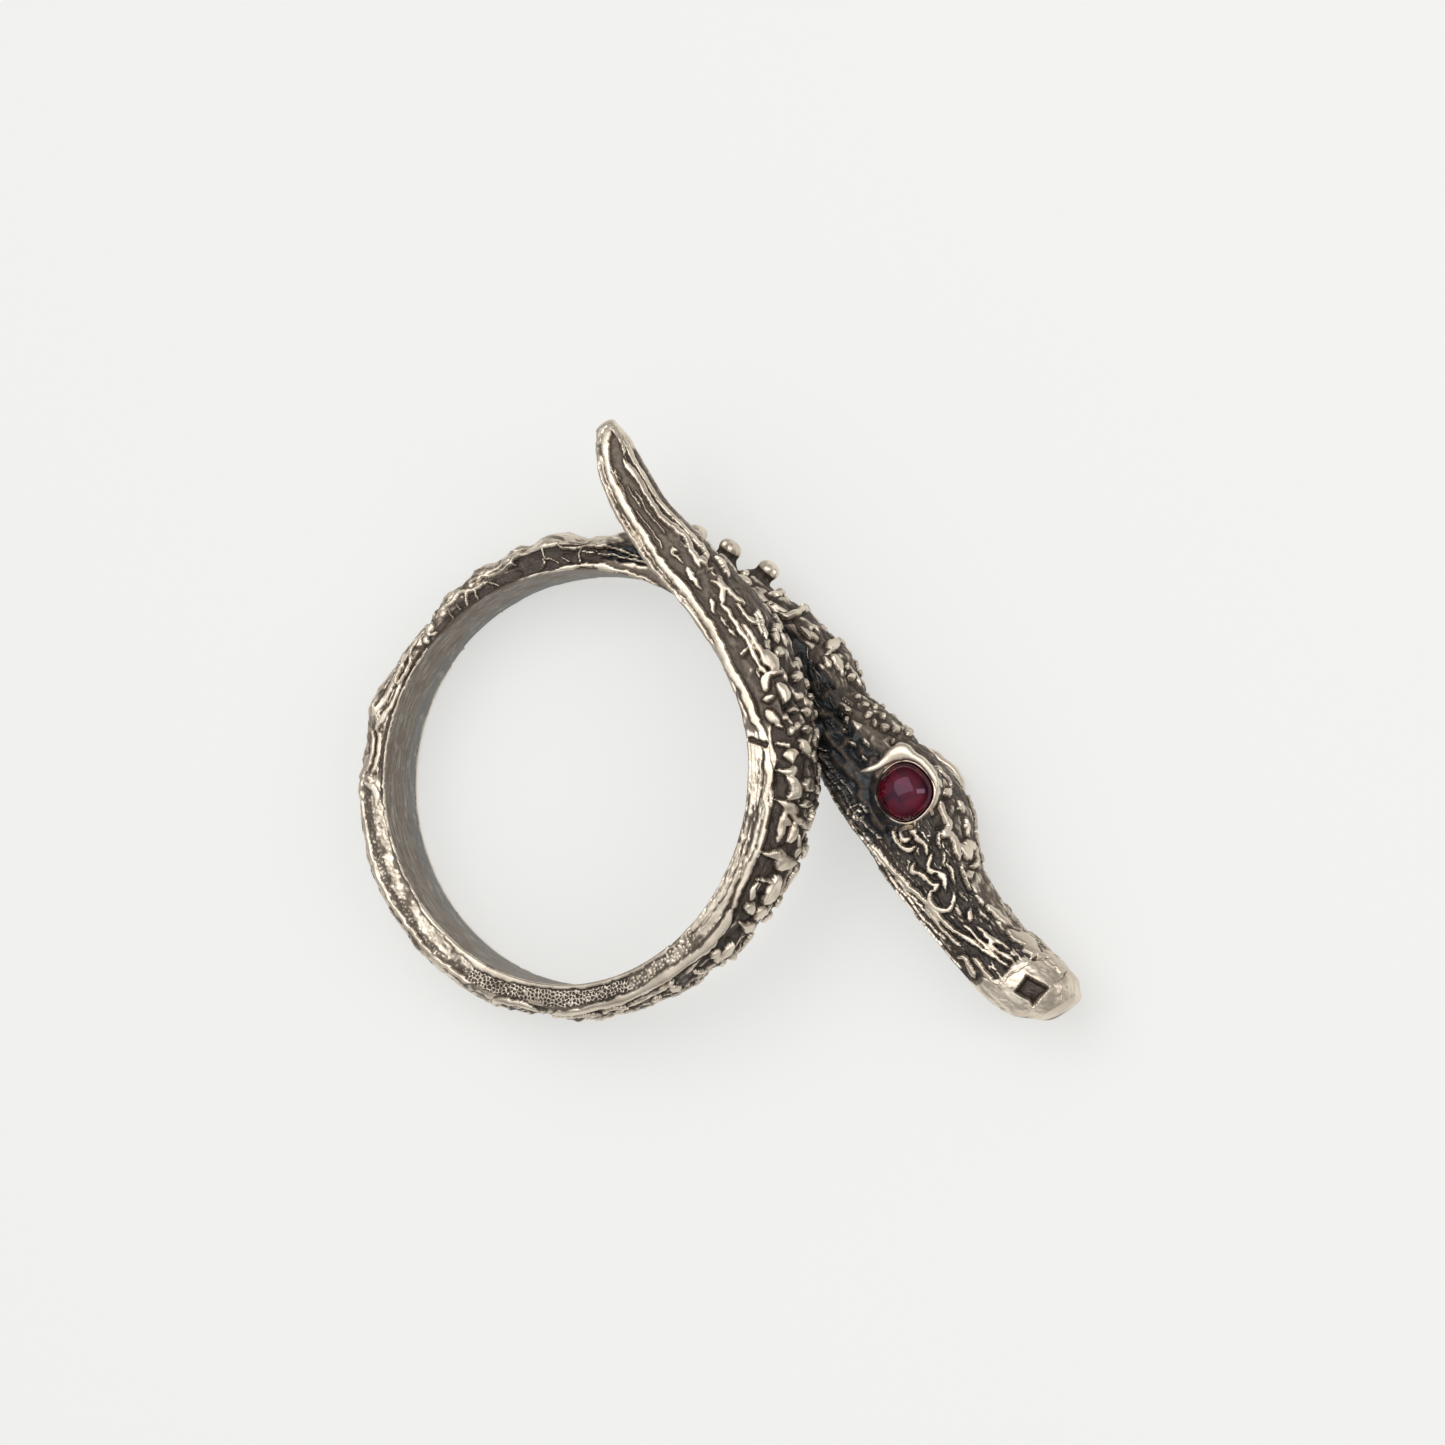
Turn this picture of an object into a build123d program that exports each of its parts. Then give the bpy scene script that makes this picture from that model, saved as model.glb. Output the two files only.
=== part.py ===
"""Alligator wrap ring: one cast body wound once round the finger, with two cabochon eyes.

The origin is the middle of the finger hole, on its axis, and the finger axis is +Z.
The ring lies on its side: the neck strand is the lower one, the tail strand the upper one.
The neck leaves the finger circle on a tangent at the bypass angle and runs on as the head.
The tail leaves the circle at the same angle the other way.
"""
import math
import os

from build123d import *

# Finger hole and the single turn round it
bore_radius = 9.05
bore_overcut = 0.2
bypass_angle = 33.0
band_width = 4.1
band_height = 1.75
strand_overlap = 0.56

# Where the upper strand crosses the neck: share of head_length and turn in degrees
crossing_station = 0.2
crossing_turn = 336.0

# Head, measured along the tangent line from the bypass angle
head_length = 20.1
head_height = 4.5
head_width = 4.7

# Tail, measured along the tangent line the other way
tail_length = 11.4
tail_height = 2.2

# Cabochon eyes, their seats and the brow ridges over them
eye_radius = 1.24
eye_girdle = 0.57
eye_dome = 0.79
eye_proud = 0.39
eye_gap = 0.03
eye_station = 0.453
eye_share = 0.68
bezel_wall = 0.22
bezel_lip = 0.17
bezel_root = 0.28
brow_radius = 0.27
brow_offset = 0.24
brow_lift = 0.05
brow_start = 205.0
brow_sweep = 220.0

# Ball-headed spines of the neck, at turns in degrees from the bypass
neck_spine_turns = (14.5, 23.5, 32.5, 41.5)
neck_spine_base = 0.5
neck_spine_top = 0.22
neck_spine_height = 0.4
neck_spine_ball = 0.27

# Low scutes of the crest, the shoulders and the nape; turns in degrees
scute_base = 0.62
scute_top = 0.2
scute_height = 0.2
scute_sink = 0.45
scute_pitch = 9.4
crest_first_turn = 54.0
shoulder_first_turn = 205.0
last_scute_turn = 346.0
shoulder_share = 0.29
shoulder_sink = 0.76
nape_pitch = 1.35
nape_end_share = 0.35
nape_share = 0.2
nape_sink = 0.58

# Raised lines: inner rims of the turn and mouth lines of the head
rim_radius = 0.13
rim_first_turn = 30.0
rim_last_turn = 330.0
rim_steps = 20
mouth_radius = 0.17
mouth_share = 0.26
mouth_first = 0.38
mouth_last = 0.96
mouth_steps = 6

# Snout: nostril bulges and square pockets
nostril_radius = 0.6
nostril_station = 0.96
nostril_share = 0.81
nostril_spread = 0.44
pocket_side = 1.03
pocket_station = 0.95
pocket_share = 0.56
pocket_turn = 24.0
pocket_floor = 0.72

# Sizes that follow from the ones above
eye_apex = 0.5 * head_width + eye_proud
eye_girdle_top = eye_apex - eye_dome
eye_foot = eye_girdle_top - eye_girdle
bezel_top = eye_girdle_top + bezel_lip
bezel_foot = eye_foot - bezel_root
brow_ring = eye_radius + eye_gap + brow_offset
brow_level = eye_girdle_top + brow_lift

# Rows of the turn: turn in degrees from the bypass, lift as a share of wrap_rise,
# width as a share of band_width, height as a share of band_height
turn_rows = [
    (8.0, 0.00, 1.00, 1.66),
    (20.0, 0.00, 1.00, 1.34),
    (38.0, 0.00, 1.00, 1.13),
    (57.0, 0.00, 1.00, 0.97),
    (78.0, 0.00, 0.99, 0.84),
    (100.0, 0.00, 0.98, 0.76),
    (122.0, 0.00, 0.98, 0.80),
    (144.0, 0.00, 0.98, 0.90),
    (166.0, 0.00, 0.98, 0.99),
    (188.0, 0.03, 0.97, 1.00),
    (210.0, 0.13, 0.96, 0.92),
    (232.0, 0.31, 0.95, 0.82),
    (254.0, 0.54, 0.93, 0.82),
    (276.0, 0.76, 0.91, 0.93),
    (298.0, 0.92, 0.89, 1.15),
    (318.0, 0.99, 0.88, 1.34),
    (336.0, 1.00, 0.88, 1.42),
    (351.0, 1.00, 0.87, 1.46),
]

# Rows of the head: distance along as a share of head_length, jaw line and crown line
# outward from the bore wall as shares of head_height, width as a share of head_width,
# middle height above the low edge as a share of eye_apex
head_rows = [
    (0.00, 0.00, 0.74, 0.86, 0.75),
    (0.10, 0.01, 0.83, 0.86, 0.78),
    (0.20, 0.03, 0.86, 0.90, 0.86),
    (0.30, 0.04, 0.91, 0.97, 0.94),
    (0.42, 0.04, 1.03, 1.02, 1.00),
    (0.50, 0.06, 1.03, 1.00, 1.00),
    (0.60, 0.08, 0.92, 0.88, 1.00),
    (0.70, 0.13, 0.84, 0.78, 1.00),
    (0.80, 0.17, 0.88, 0.72, 1.00),
    (0.90, 0.25, 0.99, 0.74, 1.00),
    (0.96, 0.37, 1.05, 0.70, 1.00),
    (1.00, 0.56, 1.00, 0.46, 1.00),
]

# Rows of the tail: distance along as a share of tail_length, belly line outward from
# the bore wall and height as shares of tail_height, width as a share of band_width,
# middle height above the middle of the upper strand as a share of band_width
tail_rows = [
    (0.00, 0.00, 1.20, 0.870, 0.000),
    (0.12, -0.02, 1.18, 0.855, 0.000),
    (0.28, -0.09, 1.09, 0.800, 0.010),
    (0.46, -0.24, 1.03, 0.725, 0.020),
    (0.64, -0.28, 0.93, 0.635, 0.025),
    (0.80, -0.19, 0.84, 0.515, 0.035),
    (0.92, 0.00, 0.68, 0.395, 0.040),
    (1.00, 0.22, 0.40, 0.225, 0.045),
]

# Section shares, as shares of the section width and height:
# belly width, flank width, flank height, shoulder width, shoulder height
band_shape = (0.94, 0.93, 0.34, 0.86, 0.74)
neck_shape = (0.80, 0.98, 0.42, 0.80, 0.80)
head_shape = (0.52, 1.00, 0.46, 0.66, 0.84)
snout_shape = (0.50, 1.00, 0.40, 0.62, 0.86)
tail_shape = (0.84, 0.90, 0.36, 0.74, 0.78)

along_x = math.sin(math.radians(bypass_angle))
along_y = -math.cos(math.radians(bypass_angle))
out_x = math.cos(math.radians(bypass_angle))
out_y = math.sin(math.radians(bypass_angle))


def line_point(along, out, z):
    """Point on the tangent line frame: along the head, outward from the finger axis, up."""
    return (along * along_x + out * out_x, along * along_y + out * out_y, z)


def blend(rows, key, column):
    """Value of a table column at a key, straight between rows and held past the ends."""
    if key <= rows[0][0]:
        return rows[0][column]
    for low, high in zip(rows, rows[1:]):
        if key <= high[0]:
            share = (key - low[0]) / (high[0] - low[0])
            return low[column] + share * (high[column] - low[column])
    return rows[-1][column]


# Rise of the turn: the upper strand's underside lies strand_overlap deep in the neck's top
# where the two strands cross
neck_top = eye_apex * blend(head_rows, crossing_station, 4)
neck_top += 0.5 * neck_shape[1] * head_width * blend(head_rows, crossing_station, 3)
upper_half = 0.5 * band_shape[0] * band_width * blend(turn_rows, crossing_turn, 2)
wrap_rise = neck_top - strand_overlap + upper_half - 0.5 * band_width
low_edge_z = -0.5 * (band_width + wrap_rise)


def turn_plane(turn, middle_z):
    """Section plane at a turn: local x outward from the finger axis, local y down."""
    angle = math.radians(bypass_angle + turn)
    return Plane(
        origin=(bore_radius * math.cos(angle), bore_radius * math.sin(angle), middle_z),
        x_dir=(math.cos(angle), math.sin(angle), 0),
        z_dir=(-math.sin(angle), math.cos(angle), 0),
    )


def line_plane(along, middle_z):
    """Section plane across the tangent line, on the bore wall: same local axes as turn_plane."""
    return Plane(
        origin=line_point(along, bore_radius, middle_z),
        x_dir=(out_x, out_y, 0),
        z_dir=(-along_x, -along_y, 0),
    )


def section(plane, low, height, width, shape):
    """One body section: flat belly, arched flanks and arched back."""
    belly, flank, flank_at, shoulder, shoulder_at = shape
    belly_half = 0.5 * belly * width
    flank_half = 0.5 * flank * width
    shoulder_half = 0.5 * shoulder * width
    with BuildSketch(plane) as outline:
        with BuildLine():
            Line((low, -belly_half), (low, belly_half))
            ThreePointArc(
                (low, belly_half),
                (low + flank_at * height, flank_half),
                (low + shoulder_at * height, shoulder_half),
            )
            ThreePointArc(
                (low + shoulder_at * height, shoulder_half),
                (low + height, 0),
                (low + shoulder_at * height, -shoulder_half),
            )
            ThreePointArc(
                (low + shoulder_at * height, -shoulder_half),
                (low + flank_at * height, -flank_half),
                (low, -belly_half),
            )
        make_face()
    return outline.sketch


def turn_middle(turn):
    """Middle height of the band at a turn."""
    return low_edge_z + wrap_rise * blend(turn_rows, turn, 1) + 0.5 * band_width


def band_section(turn):
    """Section of the turn; its belly stands inside the bore wall until the bore is cut."""
    width = band_width * blend(turn_rows, turn, 2)
    height = band_height * blend(turn_rows, turn, 3) + bore_overcut
    return section(turn_plane(turn, turn_middle(turn)), -bore_overcut, height, width, band_shape)


def head_middle(station):
    """Middle height of the head at a share of its length."""
    return low_edge_z + eye_apex * blend(head_rows, station, 4)


def head_section(row, shape):
    """Section across the neck, head or snout."""
    station, jaw, crown, width, _ = row
    low = jaw * head_height
    plane = line_plane(station * head_length, head_middle(station))
    return section(plane, low, crown * head_height - low, width * head_width, shape)


def tail_section(row):
    """Section across the tail, one strand above the neck."""
    station, belly, height, width, middle = row
    strand_middle = low_edge_z + wrap_rise + (0.5 + middle) * band_width
    plane = line_plane(-station * tail_length, strand_middle)
    return section(plane, belly * tail_height, height * tail_height, width * band_width, tail_shape)


def head_shape_at(station):
    """Section shares for a head row, from neck to skull to snout."""
    if station < 0.2:
        return neck_shape
    if station < 0.65:
        return head_shape
    return snout_shape


def head_out(station, share):
    """Distance from the finger axis to a share of the way from the jaw up to the crown."""
    jaw = head_height * blend(head_rows, station, 1)
    crown = head_height * blend(head_rows, station, 2)
    return bore_radius + jaw + share * (crown - jaw)


def head_half(station):
    """Half of the head's width at a share of its length."""
    return 0.5 * head_width * blend(head_rows, station, 3)


def crest_frame(turn, sideways, sink):
    """Plane on the back at a turn, sunk a little, its normal away from the finger."""
    angle = math.radians(bypass_angle + turn)
    reach = bore_radius + band_height * blend(turn_rows, turn, 3) - sink
    return Plane(
        origin=(reach * math.cos(angle), reach * math.sin(angle), turn_middle(turn) + sideways),
        x_dir=(0, 0, 1),
        z_dir=(math.cos(angle), math.sin(angle), 0),
    )


def crown_frame(along, sideways, sink):
    """Plane on the crown of the neck or head, sunk a little, its normal outward."""
    station = along / head_length
    middle = head_middle(station) + sideways
    origin = line_point(along, head_out(station, 1) - sink, middle)
    return Plane(origin=origin, x_dir=(0, 0, 1), z_dir=(out_x, out_y, 0))


def flank_plane(station, share, level, side):
    """Plane facing out of one flank of the head at a level from its middle."""
    middle = head_middle(station) + side * level
    return Plane(
        origin=line_point(station * head_length, head_out(station, share), middle),
        x_dir=(along_x, along_y, 0),
        z_dir=(0, 0, side),
    )


def rim_point(step, side):
    """Point on the inner rim of the turn, on the upper or lower side."""
    turn = rim_first_turn + (rim_last_turn - rim_first_turn) * step / rim_steps
    angle = math.radians(bypass_angle + turn)
    reach = bore_radius + 1.2 * rim_radius
    half = 0.5 * band_shape[0] * band_width * blend(turn_rows, turn, 2) - 0.4 * rim_radius
    return (reach * math.cos(angle), reach * math.sin(angle), turn_middle(turn) + side * half)


def mouth_point(step, side):
    """Point on the mouth line of the head, low on the flank."""
    station = mouth_first + (mouth_last - mouth_first) * step / mouth_steps
    level = head_middle(station) + side * 0.93 * head_half(station)
    return line_point(station * head_length, head_out(station, mouth_share), level)


# Cast body: head, two halves of the turn, tail, back relief, rims, eye seats, snout
head_sections = [head_section(row, head_shape_at(row[0])) for row in head_rows]
bypass_section = head_sections[0]
half_row = len(turn_rows) // 2
first_half = [band_section(row[0]) for row in turn_rows[: half_row + 1]]
second_half = [band_section(row[0]) for row in turn_rows[half_row:]]
tail_sections = [tail_section(row) for row in tail_rows]

crest_count = int((last_scute_turn - crest_first_turn) / scute_pitch) + 1
shoulder_count = int((last_scute_turn - shoulder_first_turn) / scute_pitch) + 1
nape_count = int(nape_end_share * head_length / nape_pitch)
neck_spines = [crest_frame(turn, 0, scute_sink) for turn in neck_spine_turns]
neck_balls = [crest_frame(turn, 0, -neck_spine_height) for turn in neck_spine_turns]
crest_scutes = [
    crest_frame(crest_first_turn + scute_pitch * step, 0, scute_sink) for step in range(crest_count)
]
shoulder_scutes = [
    crest_frame(
        shoulder_first_turn + scute_pitch * step,
        side * shoulder_share * band_width,
        shoulder_sink,
    )
    for step in range(shoulder_count)
    for side in (-1, 1)
]
nape_scutes = [
    crown_frame(nape_pitch * (step + 0.5), side * nape_share * head_width, nape_sink)
    for step in range(nape_count)
    for side in (-1, 0, 1)
]

with BuildPart() as ring_body:
    loft(sections=head_sections)
    loft(sections=[bypass_section] + first_half)
    loft(sections=second_half)
    loft(sections=[second_half[-1]] + tail_sections)

    # Ball-headed spines of the neck
    with Locations(*neck_spines):
        Cone(
            neck_spine_base,
            neck_spine_top,
            neck_spine_height + scute_sink,
            align=(Align.CENTER, Align.CENTER, Align.MIN),
        )
    with Locations(*neck_balls):
        Sphere(neck_spine_ball)

    # Low scutes along the crest, the shoulders and the nape
    with Locations(*crest_scutes, *shoulder_scutes, *nape_scutes):
        Cone(
            scute_base,
            scute_top,
            scute_height + scute_sink,
            align=(Align.CENTER, Align.CENTER, Align.MIN),
        )

    for side in (-1, 1):
        # Nostril bulge
        nostril_level = nostril_spread * head_half(nostril_station)
        with Locations(flank_plane(nostril_station, nostril_share, nostril_level, side)):
            Sphere(nostril_radius)

        # Bezel wall round the eye
        with Locations(flank_plane(eye_station, eye_share, bezel_foot, side)):
            Cylinder(
                eye_radius + eye_gap + bezel_wall,
                bezel_top - bezel_foot,
                align=(Align.CENTER, Align.CENTER, Align.MIN),
            )

        # Brow ridge bent over the eye, from behind it over the crown side to the front
        with BuildLine(flank_plane(eye_station, eye_share, brow_level, side)) as brow_path:
            CenterArc((0, 0), brow_ring, side * brow_start, -side * brow_sweep)
        with BuildSketch(Plane(origin=brow_path.line @ 0, z_dir=brow_path.line % 0)):
            Circle(brow_radius)
        sweep(path=brow_path.line)

        # Raised mouth line
        with BuildLine() as mouth_path:
            Spline(*[mouth_point(step, side) for step in range(mouth_steps + 1)])
        with BuildSketch(Plane(origin=mouth_path.line @ 0, z_dir=mouth_path.line % 0)):
            Circle(mouth_radius)
        sweep(path=mouth_path.line)

        # Raised rim along the inner edge of the turn
        with BuildLine() as rim_path:
            Spline(*[rim_point(step, side) for step in range(rim_steps + 1)])
        with BuildSketch(Plane(origin=rim_path.line @ 0, z_dir=rim_path.line % 0)):
            Circle(rim_radius)
        sweep(path=rim_path.line)

        # Eye seat, one gap wider and deeper than the stone
        with Locations(flank_plane(eye_station, eye_share, eye_foot - eye_gap, side)):
            Cylinder(
                eye_radius + eye_gap,
                head_width,
                align=(Align.CENTER, Align.CENTER, Align.MIN),
                mode=Mode.SUBTRACT,
            )

        # Square pocket in the snout
        pocket_level = pocket_floor * head_half(pocket_station)
        with BuildSketch(flank_plane(pocket_station, pocket_share, pocket_level, side)):
            Rectangle(pocket_side, pocket_side, rotation=side * pocket_turn)
        extrude(amount=head_width, mode=Mode.SUBTRACT)

    # Finger hole
    Cylinder(bore_radius, 3 * band_width, mode=Mode.SUBTRACT)

ring_body.part.label = "ring_body"


def cabochon(side):
    """Domed round stone standing in its seat on one flank of the head."""
    dome_radius = (eye_radius**2 + eye_dome**2) / (2 * eye_dome)
    mid_angle = 0.5 * math.asin(eye_radius / dome_radius)
    mid_x = dome_radius * math.sin(mid_angle)
    mid_y = eye_apex - dome_radius * (1 - math.cos(mid_angle))
    eye_middle = flank_plane(eye_station, eye_share, 0, side)
    profile_plane = Plane(
        origin=eye_middle.origin,
        x_dir=(along_x, along_y, 0),
        z_dir=(-side * out_x, -side * out_y, 0),
    )
    with BuildPart() as stone:
        with BuildSketch(profile_plane):
            with BuildLine():
                Line((0, eye_apex), (0, eye_foot))
                Line((0, eye_foot), (eye_radius, eye_foot))
                Line((eye_radius, eye_foot), (eye_radius, eye_girdle_top))
                ThreePointArc((eye_radius, eye_girdle_top), (mid_x, mid_y), (0, eye_apex))
            make_face()
        revolve(axis=Axis(eye_middle.origin, (0, 0, side)))
    return stone.part


ruby_eye_left = cabochon(1)
ruby_eye_left.label = "ruby_eye_left"
ruby_eye_right = cabochon(-1)
ruby_eye_right.label = "ruby_eye_right"

os.makedirs("parts", exist_ok=True)
export_step(ring_body.part, "parts/ring_body.step")
export_step(ruby_eye_left, "parts/ruby_eye_left.step")
export_step(ruby_eye_right, "parts/ruby_eye_right.step")
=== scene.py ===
"""Looks of the alligator wrap ring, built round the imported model.

Lengths in the tables are millimetres. A place on the cast body is given by q, the distance along
the body (the snout is negative, the neck leaves the finger circle at 0, the tail tip is last), and
by r, the place round its section: 0 upper inner edge, 1 upper shoulder, 2 crest, 3 lower shoulder,
4 lower inner edge, and 5 is 0 again across the bore wall.
"""
import math

import bpy
import numpy as np
from mathutils import Matrix, Vector


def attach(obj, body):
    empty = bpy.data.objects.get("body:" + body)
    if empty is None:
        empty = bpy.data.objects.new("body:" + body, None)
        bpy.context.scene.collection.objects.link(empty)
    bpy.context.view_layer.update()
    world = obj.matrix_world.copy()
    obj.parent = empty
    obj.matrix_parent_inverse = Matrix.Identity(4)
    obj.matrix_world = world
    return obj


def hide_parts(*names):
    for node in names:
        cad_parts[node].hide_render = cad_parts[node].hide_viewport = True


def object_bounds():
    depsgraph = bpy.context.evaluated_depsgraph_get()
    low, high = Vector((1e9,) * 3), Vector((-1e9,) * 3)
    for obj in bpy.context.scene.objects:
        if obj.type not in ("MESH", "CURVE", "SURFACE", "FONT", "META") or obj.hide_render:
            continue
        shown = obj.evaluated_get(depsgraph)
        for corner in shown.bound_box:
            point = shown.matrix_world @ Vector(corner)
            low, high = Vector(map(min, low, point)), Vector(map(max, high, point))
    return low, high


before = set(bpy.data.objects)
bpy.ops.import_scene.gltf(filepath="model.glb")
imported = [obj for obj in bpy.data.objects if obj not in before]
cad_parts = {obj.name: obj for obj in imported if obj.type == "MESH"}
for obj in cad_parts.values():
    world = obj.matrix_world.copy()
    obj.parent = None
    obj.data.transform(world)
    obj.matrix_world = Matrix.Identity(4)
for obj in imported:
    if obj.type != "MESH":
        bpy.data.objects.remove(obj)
cad_low, cad_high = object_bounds()

mm = 0.001

# Driving dimensions of the part
bore_radius = 9.05
bypass_angle = 33.0
band_width = 4.1
band_height = 1.75
wrap_rise = 3.515
head_length = 20.1
head_height = 4.5
head_width = 4.7
tail_length = 11.4
tail_height = 2.2
eye_radius = 1.24
eye_proud = 0.39
eye_station = 0.453
eye_share = 0.68
spine_turns = (14.5, 23.5, 32.5, 41.5)

# Eyes: levels are above the head's middle, angles run from the snout by the crown to the neck
eye_seat = 1.62
eye_girdle = 1.93
eye_squareness = 2.35
eye_turn = 12.0
eye_fit = 1.03
stone_play = 0.985
seat_floor = 1.55
seat_reach = 2.2
wall_rows, wall_steps = 44, 192
dome_rows = 48
brow_steps = 150, 28
flare_steps = 40, 20

low_edge_z = -0.5 * (band_width + wrap_rise)
eye_apex = 0.5 * head_width + eye_proud
turn_length = 2 * math.pi * bore_radius
body_first = -head_length
body_last = turn_length + tail_length

# Stretches that the cast body is built in, from one q to the next
stretch_names = ("ring_snout", "ring_neck", "ring_turn_left", "ring_turn_bottom", "ring_turn_right",
                 "ring_tail")
stretch_ends = (body_first, -9.0, 4.5, 20.0, 36.0, 51.0, body_last)

# Mesh spacing on the relief and on the plain bore wall, and how stretches overlap
relief_step = 0.047
bore_step = 0.14
section_places = np.linspace(0, 4, 161)
edge_rounding = 0.10
patch_margin = 0.8
seam_overlap = 0.12
seam_dip = 0.03

# Line sunk round each stroke, and how raised scales differ from plain ovals
moat_width = 0.09
moat_depth = 0.05
moat_dark = 0.65
pit_dark = 0.66
stroke_chips = 0.30
stroke_shine = 0.85
wall_shine = 0.55
scale_gain = 1.15
scale_wavy = 1.5
scale_power = 1.45

# Blurs that find what stands proud and what is an edge, in passes
proud_blur = 24
edge_blur = 4

# Rounded ends of the body
cap_steps = 16
cap_polish = 0.8
snout_bulge = 0.30
tail_bulge = 0.26

# Turn in degrees, lift as a share of wrap_rise, width and height as shares of the band's
turn_rows = [
    (8.0, 0.00, 1.00, 1.66),
    (20.0, 0.00, 1.00, 1.34),
    (38.0, 0.00, 1.00, 1.13),
    (57.0, 0.00, 1.00, 0.97),
    (78.0, 0.00, 0.99, 0.84),
    (100.0, 0.00, 0.98, 0.76),
    (122.0, 0.00, 0.98, 0.80),
    (144.0, 0.00, 0.98, 0.90),
    (166.0, 0.00, 0.98, 0.99),
    (188.0, 0.03, 0.97, 1.00),
    (210.0, 0.13, 0.96, 0.92),
    (232.0, 0.31, 0.95, 0.82),
    (254.0, 0.54, 0.93, 0.82),
    (276.0, 0.76, 0.91, 0.93),
    (298.0, 0.92, 0.89, 1.15),
    (318.0, 0.99, 0.88, 1.34),
    (336.0, 1.00, 0.88, 1.42),
    (351.0, 1.00, 0.87, 1.46),
]

# Share of head_length, jaw and crown outward as shares of head_height, width share, middle share
head_rows = [
    (0.00, 0.00, 0.74, 0.86, 0.75),
    (0.10, 0.01, 0.83, 0.86, 0.78),
    (0.20, 0.03, 0.86, 0.90, 0.86),
    (0.30, 0.04, 0.91, 0.97, 0.94),
    (0.42, 0.04, 1.03, 1.02, 1.00),
    (0.50, 0.06, 1.03, 1.00, 1.00),
    (0.60, 0.08, 0.92, 0.88, 1.00),
    (0.70, 0.13, 0.84, 0.78, 1.00),
    (0.80, 0.17, 0.88, 0.72, 1.00),
    (0.90, 0.25, 0.99, 0.74, 1.00),
    (0.96, 0.37, 1.05, 0.70, 1.00),
    (1.00, 0.56, 1.00, 0.46, 1.00),
]

# Share of tail_length, belly and height as shares of tail_height, width share, middle share
tail_rows = [
    (0.00, 0.00, 1.20, 0.870, 0.000),
    (0.12, -0.02, 1.18, 0.855, 0.000),
    (0.28, -0.09, 1.09, 0.800, 0.010),
    (0.46, -0.24, 1.03, 0.725, 0.020),
    (0.64, -0.28, 0.93, 0.635, 0.025),
    (0.80, -0.19, 0.84, 0.515, 0.035),
    (0.92, 0.00, 0.68, 0.395, 0.040),
    (1.00, 0.22, 0.40, 0.225, 0.045),
]

# Section shares: belly width, flank width, flank height, shoulder width, shoulder height
band_shape = (0.94, 0.93, 0.34, 0.86, 0.74)
neck_shape = (0.80, 0.98, 0.42, 0.80, 0.80)
head_shape = (0.52, 1.00, 0.46, 0.66, 0.84)
snout_shape = (0.50, 1.00, 0.40, 0.62, 0.86)
tail_shape = (0.84, 0.90, 0.36, 0.74, 0.78)


# Base surface of the cast body

def body_rows():
    """All table rows as q, belly, height, width, middle height and the five section shares."""
    rows = []
    for station, jaw, crown, width, middle in reversed(head_rows):
        shape = neck_shape if station < 0.2 else head_shape if station < 0.65 else snout_shape
        low = jaw * head_height
        rows.append((-station * head_length, low, crown * head_height - low,
                     width * head_width, low_edge_z + eye_apex * middle) + shape)
    for turn, lift, width, height in turn_rows:
        rows.append((bore_radius * math.radians(turn), 0, height * band_height, width * band_width,
                     low_edge_z + wrap_rise * lift + 0.5 * band_width) + band_shape)
    for station, belly, height, width, middle in tail_rows:
        rows.append((turn_length + station * tail_length, belly * tail_height, height * tail_height,
                     width * band_width,
                     low_edge_z + wrap_rise + (0.5 + middle) * band_width) + tail_shape)
    return np.array(rows)


rows_of_body = body_rows()


def body_columns(q):
    """Section values at q: a monotone cubic through the rows, so nothing overshoots."""
    x, y = rows_of_body[:, 0], rows_of_body[:, 1:]
    slope = np.diff(y, axis=0) / np.diff(x)[:, None]
    before, after = slope[:-1], slope[1:]
    total = np.where(before * after > 0, before + after, 1)
    inner = np.where(before * after > 0, 2 * before * after / total, 0)
    tangent = np.vstack([slope[:1], inner, slope[-1:]])
    at = np.clip(np.searchsorted(x, q, side="right") - 1, 0, len(x) - 2)
    step = (x[at + 1] - x[at])[:, None]
    t = np.clip((q - x[at])[:, None] / step, 0, 1)
    return ((2 * t**3 - 3 * t**2 + 1) * y[at] + (t**3 - 2 * t**2 + t) * step * tangent[at]
            + (3 * t**2 - 2 * t**3) * y[at + 1] + (t**3 - t**2) * step * tangent[at + 1])


def arc(first, middle, last, share):
    """Points of the circle arc through three points, at shares of the way along it."""
    ax, ay = first
    bx, by = middle
    cx, cy = last
    d = 2 * (ax * (by - cy) + bx * (cy - ay) + cx * (ay - by))
    d = np.where(np.abs(d) < 1e-9, 1e-9, d)
    sa, sb, sc = ax**2 + ay**2, bx**2 + by**2, cx**2 + cy**2
    ux = (sa * (by - cy) + sb * (cy - ay) + sc * (ay - by)) / d
    uy = (sa * (cx - bx) + sb * (ax - cx) + sc * (bx - ax)) / d
    radius = np.hypot(ax - ux, ay - uy)
    start = np.arctan2(ay - uy, ax - ux)
    to_middle = (np.arctan2(by - uy, bx - ux) - start + math.pi) % (2 * math.pi) - math.pi
    to_last = (np.arctan2(cy - uy, cx - ux) - start + math.pi) % (2 * math.pi) - math.pi
    wrapped = to_last + np.sign(to_middle) * 2 * math.pi
    to_last = np.where(to_middle * to_last < 0, wrapped, to_last)
    angle = start[:, None] + to_last[:, None] * share[None, :]
    return ux[:, None] + radius[:, None] * np.cos(angle), uy[:, None] + radius[:, None] * np.sin(angle)


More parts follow.
